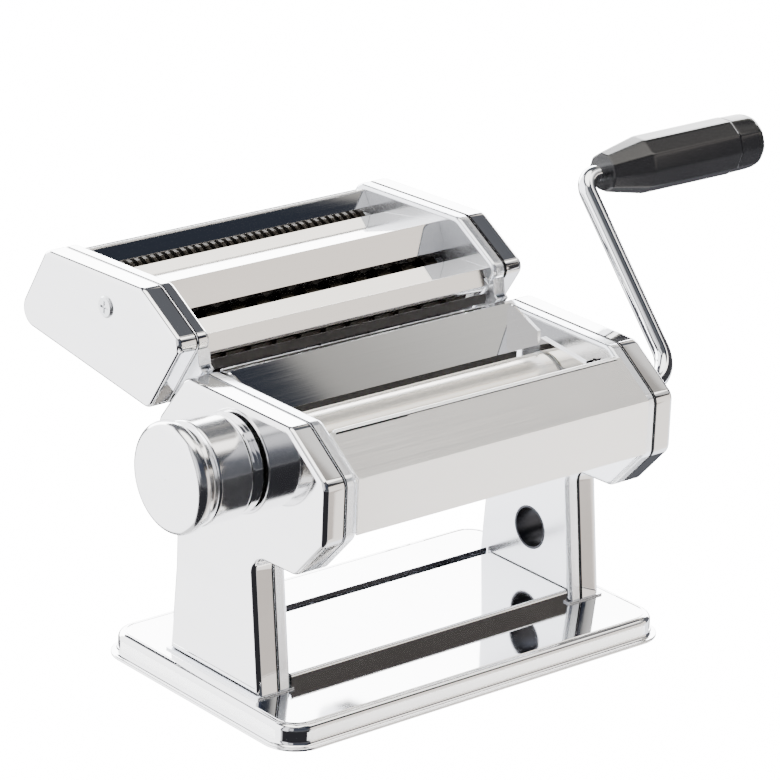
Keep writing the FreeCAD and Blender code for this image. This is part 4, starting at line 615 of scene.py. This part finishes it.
def add_floor():
    mesh = bpy.data.meshes.new("floor")
    body = bmesh.new()
    bmesh.ops.create_grid(body, x_segments=1, y_segments=1, size=FLOOR_SIZE)
    body.to_mesh(mesh)
    body.free()
    material, tree, shader = new_material("pale_floor", Roughness=0.9, Specular_IOR_Level=0.0)
    grain = noise(tree, place(tree), 60, 3, 0.5)
    tree.links.new(tones(tree, grain, (0.3, (0.1, 0.1, 0.1)), (0.7, (0.12, 0.12, 0.12))), shader.inputs["Base Color"])
    shader.inputs["Emission Color"].default_value = (1, 1, 1, 1)
    shader.inputs["Emission Strength"].default_value = FLOOR_LIGHT
    floor = new_object("floor", mesh, material)
    floor.visible_glossy = False


# Each panel: from and to in degrees round the Z axis (0 is +X, 90 is +Y) and the softness of these edges, from and
# to in degrees above the horizon and their softness, and the colours at its foot and at its top. Later panels
# cover earlier ones.
PANELS = [
    ((-180, 180, 1), (66, 91, 4), (4.5, 4.4, 4.2), (5.0, 4.9, 4.7)),
    ((-181, 181, 1), (-91, -56, 6), (1.5, 1.5, 1.52), (1.5, 1.5, 1.52)),
    ((-182, -62, 2), (-91, -3, 3), (1.5, 1.5, 1.52), (1.5, 1.5, 1.52)),
    ((-175, -67, 8), (-91, -3, 3), (0.03, 0.03, 0.035), (0.03, 0.03, 0.035)),
    ((-180, -75, 10), (-3, 40, 6), (0.10, 0.105, 0.12), (0.05, 0.06, 0.09)),
    ((-172, -150, 8), (-3, 60, 6), (1.8, 1.8, 1.85), (1.8, 1.8, 1.85)),
    ((-147, -131, 3), (8, 46, 3), (0.9, 0.9, 0.95), (1.0, 1.0, 1.05)),
    ((-75, -43.8, 0.4), (19.9, 66, 0.6), (0.030, 0.036, 0.052), (0.03, 0.036, 0.052)),
    ((-75, -30, 2), (19.9, 28, 0.6), (0.085, 0.078, 0.073), (0.075, 0.070, 0.066)),
    ((-43.8, -20, 0.4), (28, 41, 1.5), (0.46, 0.45, 0.44), (0.56, 0.55, 0.53)),
    ((-42.2, -20, 3), (28, 41, 1.5), (0.8, 0.79, 0.77), (0.9, 0.89, 0.87)),
    ((-46, -20, 2), (42, 66, 2), (3.6, 3.45, 3.25), (4.4, 4.25, 4.0)),
    ((-64, -20, 2), (-60, 19.9, 0.6), (2.2, 2.08, 1.94), (1.6, 1.47, 1.35)),
    ((-64, -49.4, 0.8), (-60, -10, 6), (0.88, 0.79, 0.72), (0.88, 0.79, 0.72)),
    ((-20, -3, 2), (34, 66, 3), (0.42, 0.39, 0.36), (0.5, 0.47, 0.44)),
    ((-10.6, -3, 1.6), (34, 66, 3), (1.15, 1.12, 1.08), (1.2, 1.17, 1.13)),
    ((8, 32, 4), (34, 47, 2), (1.5, 1.42, 1.28), (1.2, 1.12, 1.0)),
    ((-34, 12, 6), (-60, -8, 6), (2.4, 2.45, 2.6), (2.4, 2.45, 2.6)),
    ((12, 102, 5), (-1.0, 34, 1.2), (13.0, 13.0, 13.1), (13.0, 13.0, 13.1)),
    ((100, 184, 8), (-60, 50, 6), (4.0, 4.0, 4.1), (4.6, 4.6, 4.7)),
]
TENT = (0.13, 0.135, 0.15)  # between the panels


def tent():
    """The world's light: every direction gets the colour of the last panel that covers it."""
    world = bpy.data.worlds.new("tent")
    world.use_nodes = True
    bpy.context.scene.world = world
    tree = world.node_tree
    source = tree.nodes.new("ShaderNodeTexCoord")
    split = tree.nodes.new("ShaderNodeSeparateXYZ")
    tree.links.new(source.outputs["Generated"], split.inputs["Vector"])
    x, y, z = (split.outputs[axis] for axis in "XYZ")
    round_z = maths(tree, "MULTIPLY", maths(tree, "ARCTAN2", y, x), 180 / math.pi)
    above = maths(tree, "MULTIPLY", maths(tree, "ARCSINE", z), 180 / math.pi)

    def ramp(value, low, high):
        node = tree.nodes.new("ShaderNodeMapRange")
        node.interpolation_type = "SMOOTHSTEP"
        node.inputs["From Min"].default_value = low
        node.inputs["From Max"].default_value = high
        tree.links.new(value, node.inputs["Value"])
        return node.outputs["Result"]

    def between(value, start, end, soft):
        rise = ramp(value, start - soft / 2, start + soft / 2)
        fall = maths(tree, "SUBTRACT", 1.0, ramp(value, end - soft / 2, end + soft / 2))
        return maths(tree, "MULTIPLY", rise, fall)

    def mix(factor, first, second):
        node = tree.nodes.new("ShaderNodeMix")
        node.data_type = "RGBA"
        tree.links.new(factor, node.inputs["Factor"])
        for socket, value in ((node.inputs[6], first), (node.inputs[7], second)):
            if isinstance(value, tuple):
                socket.default_value = (*value, 1)
            else:
                tree.links.new(value, socket)
        return node.outputs[2]

    colour = TENT
    for sideways, upward, foot, top in PANELS:
        inside = maths(tree, "MULTIPLY", between(round_z, *sideways), between(above, *upward))
        shade = mix(ramp(above, upward[0], upward[1]), foot, top)
        colour = mix(inside, colour, shade)
    tree.links.new(colour, tree.nodes["Background"].inputs["Color"])


# A black card beside the grip, seen only in its gloss. Sizes are in metres.

CARD_DISTANCE = 0.09
CARD_HALF_WIDTH = 0.085
CARD_HALF_HEIGHT = 0.062


def add_card():
    mesh = bpy.data.meshes.new("card")
    middle = Vector(((grip_low.x + cap_high.x) / 2, grip_y, grip_z))
    towards = Vector((0.60, -0.72, -0.36)).normalized()
    across = Vector((0.77, 0.64, 0))
    up = towards.cross(across).normalized()
    spot = middle + towards * CARD_DISTANCE
    corners = [spot + across * i * CARD_HALF_WIDTH + up * j * CARD_HALF_HEIGHT
               for i, j in ((-1, -1), (1, -1), (1, 1), (-1, 1))]
    mesh.from_pydata(corners, [], [(0, 1, 2, 3)])
    card = new_object("card", mesh, seam_shadow)
    card.visible_camera = False
    card.visible_diffuse = False
    card.visible_shadow = False


add_camera()
add_floor()
add_card()
tent()
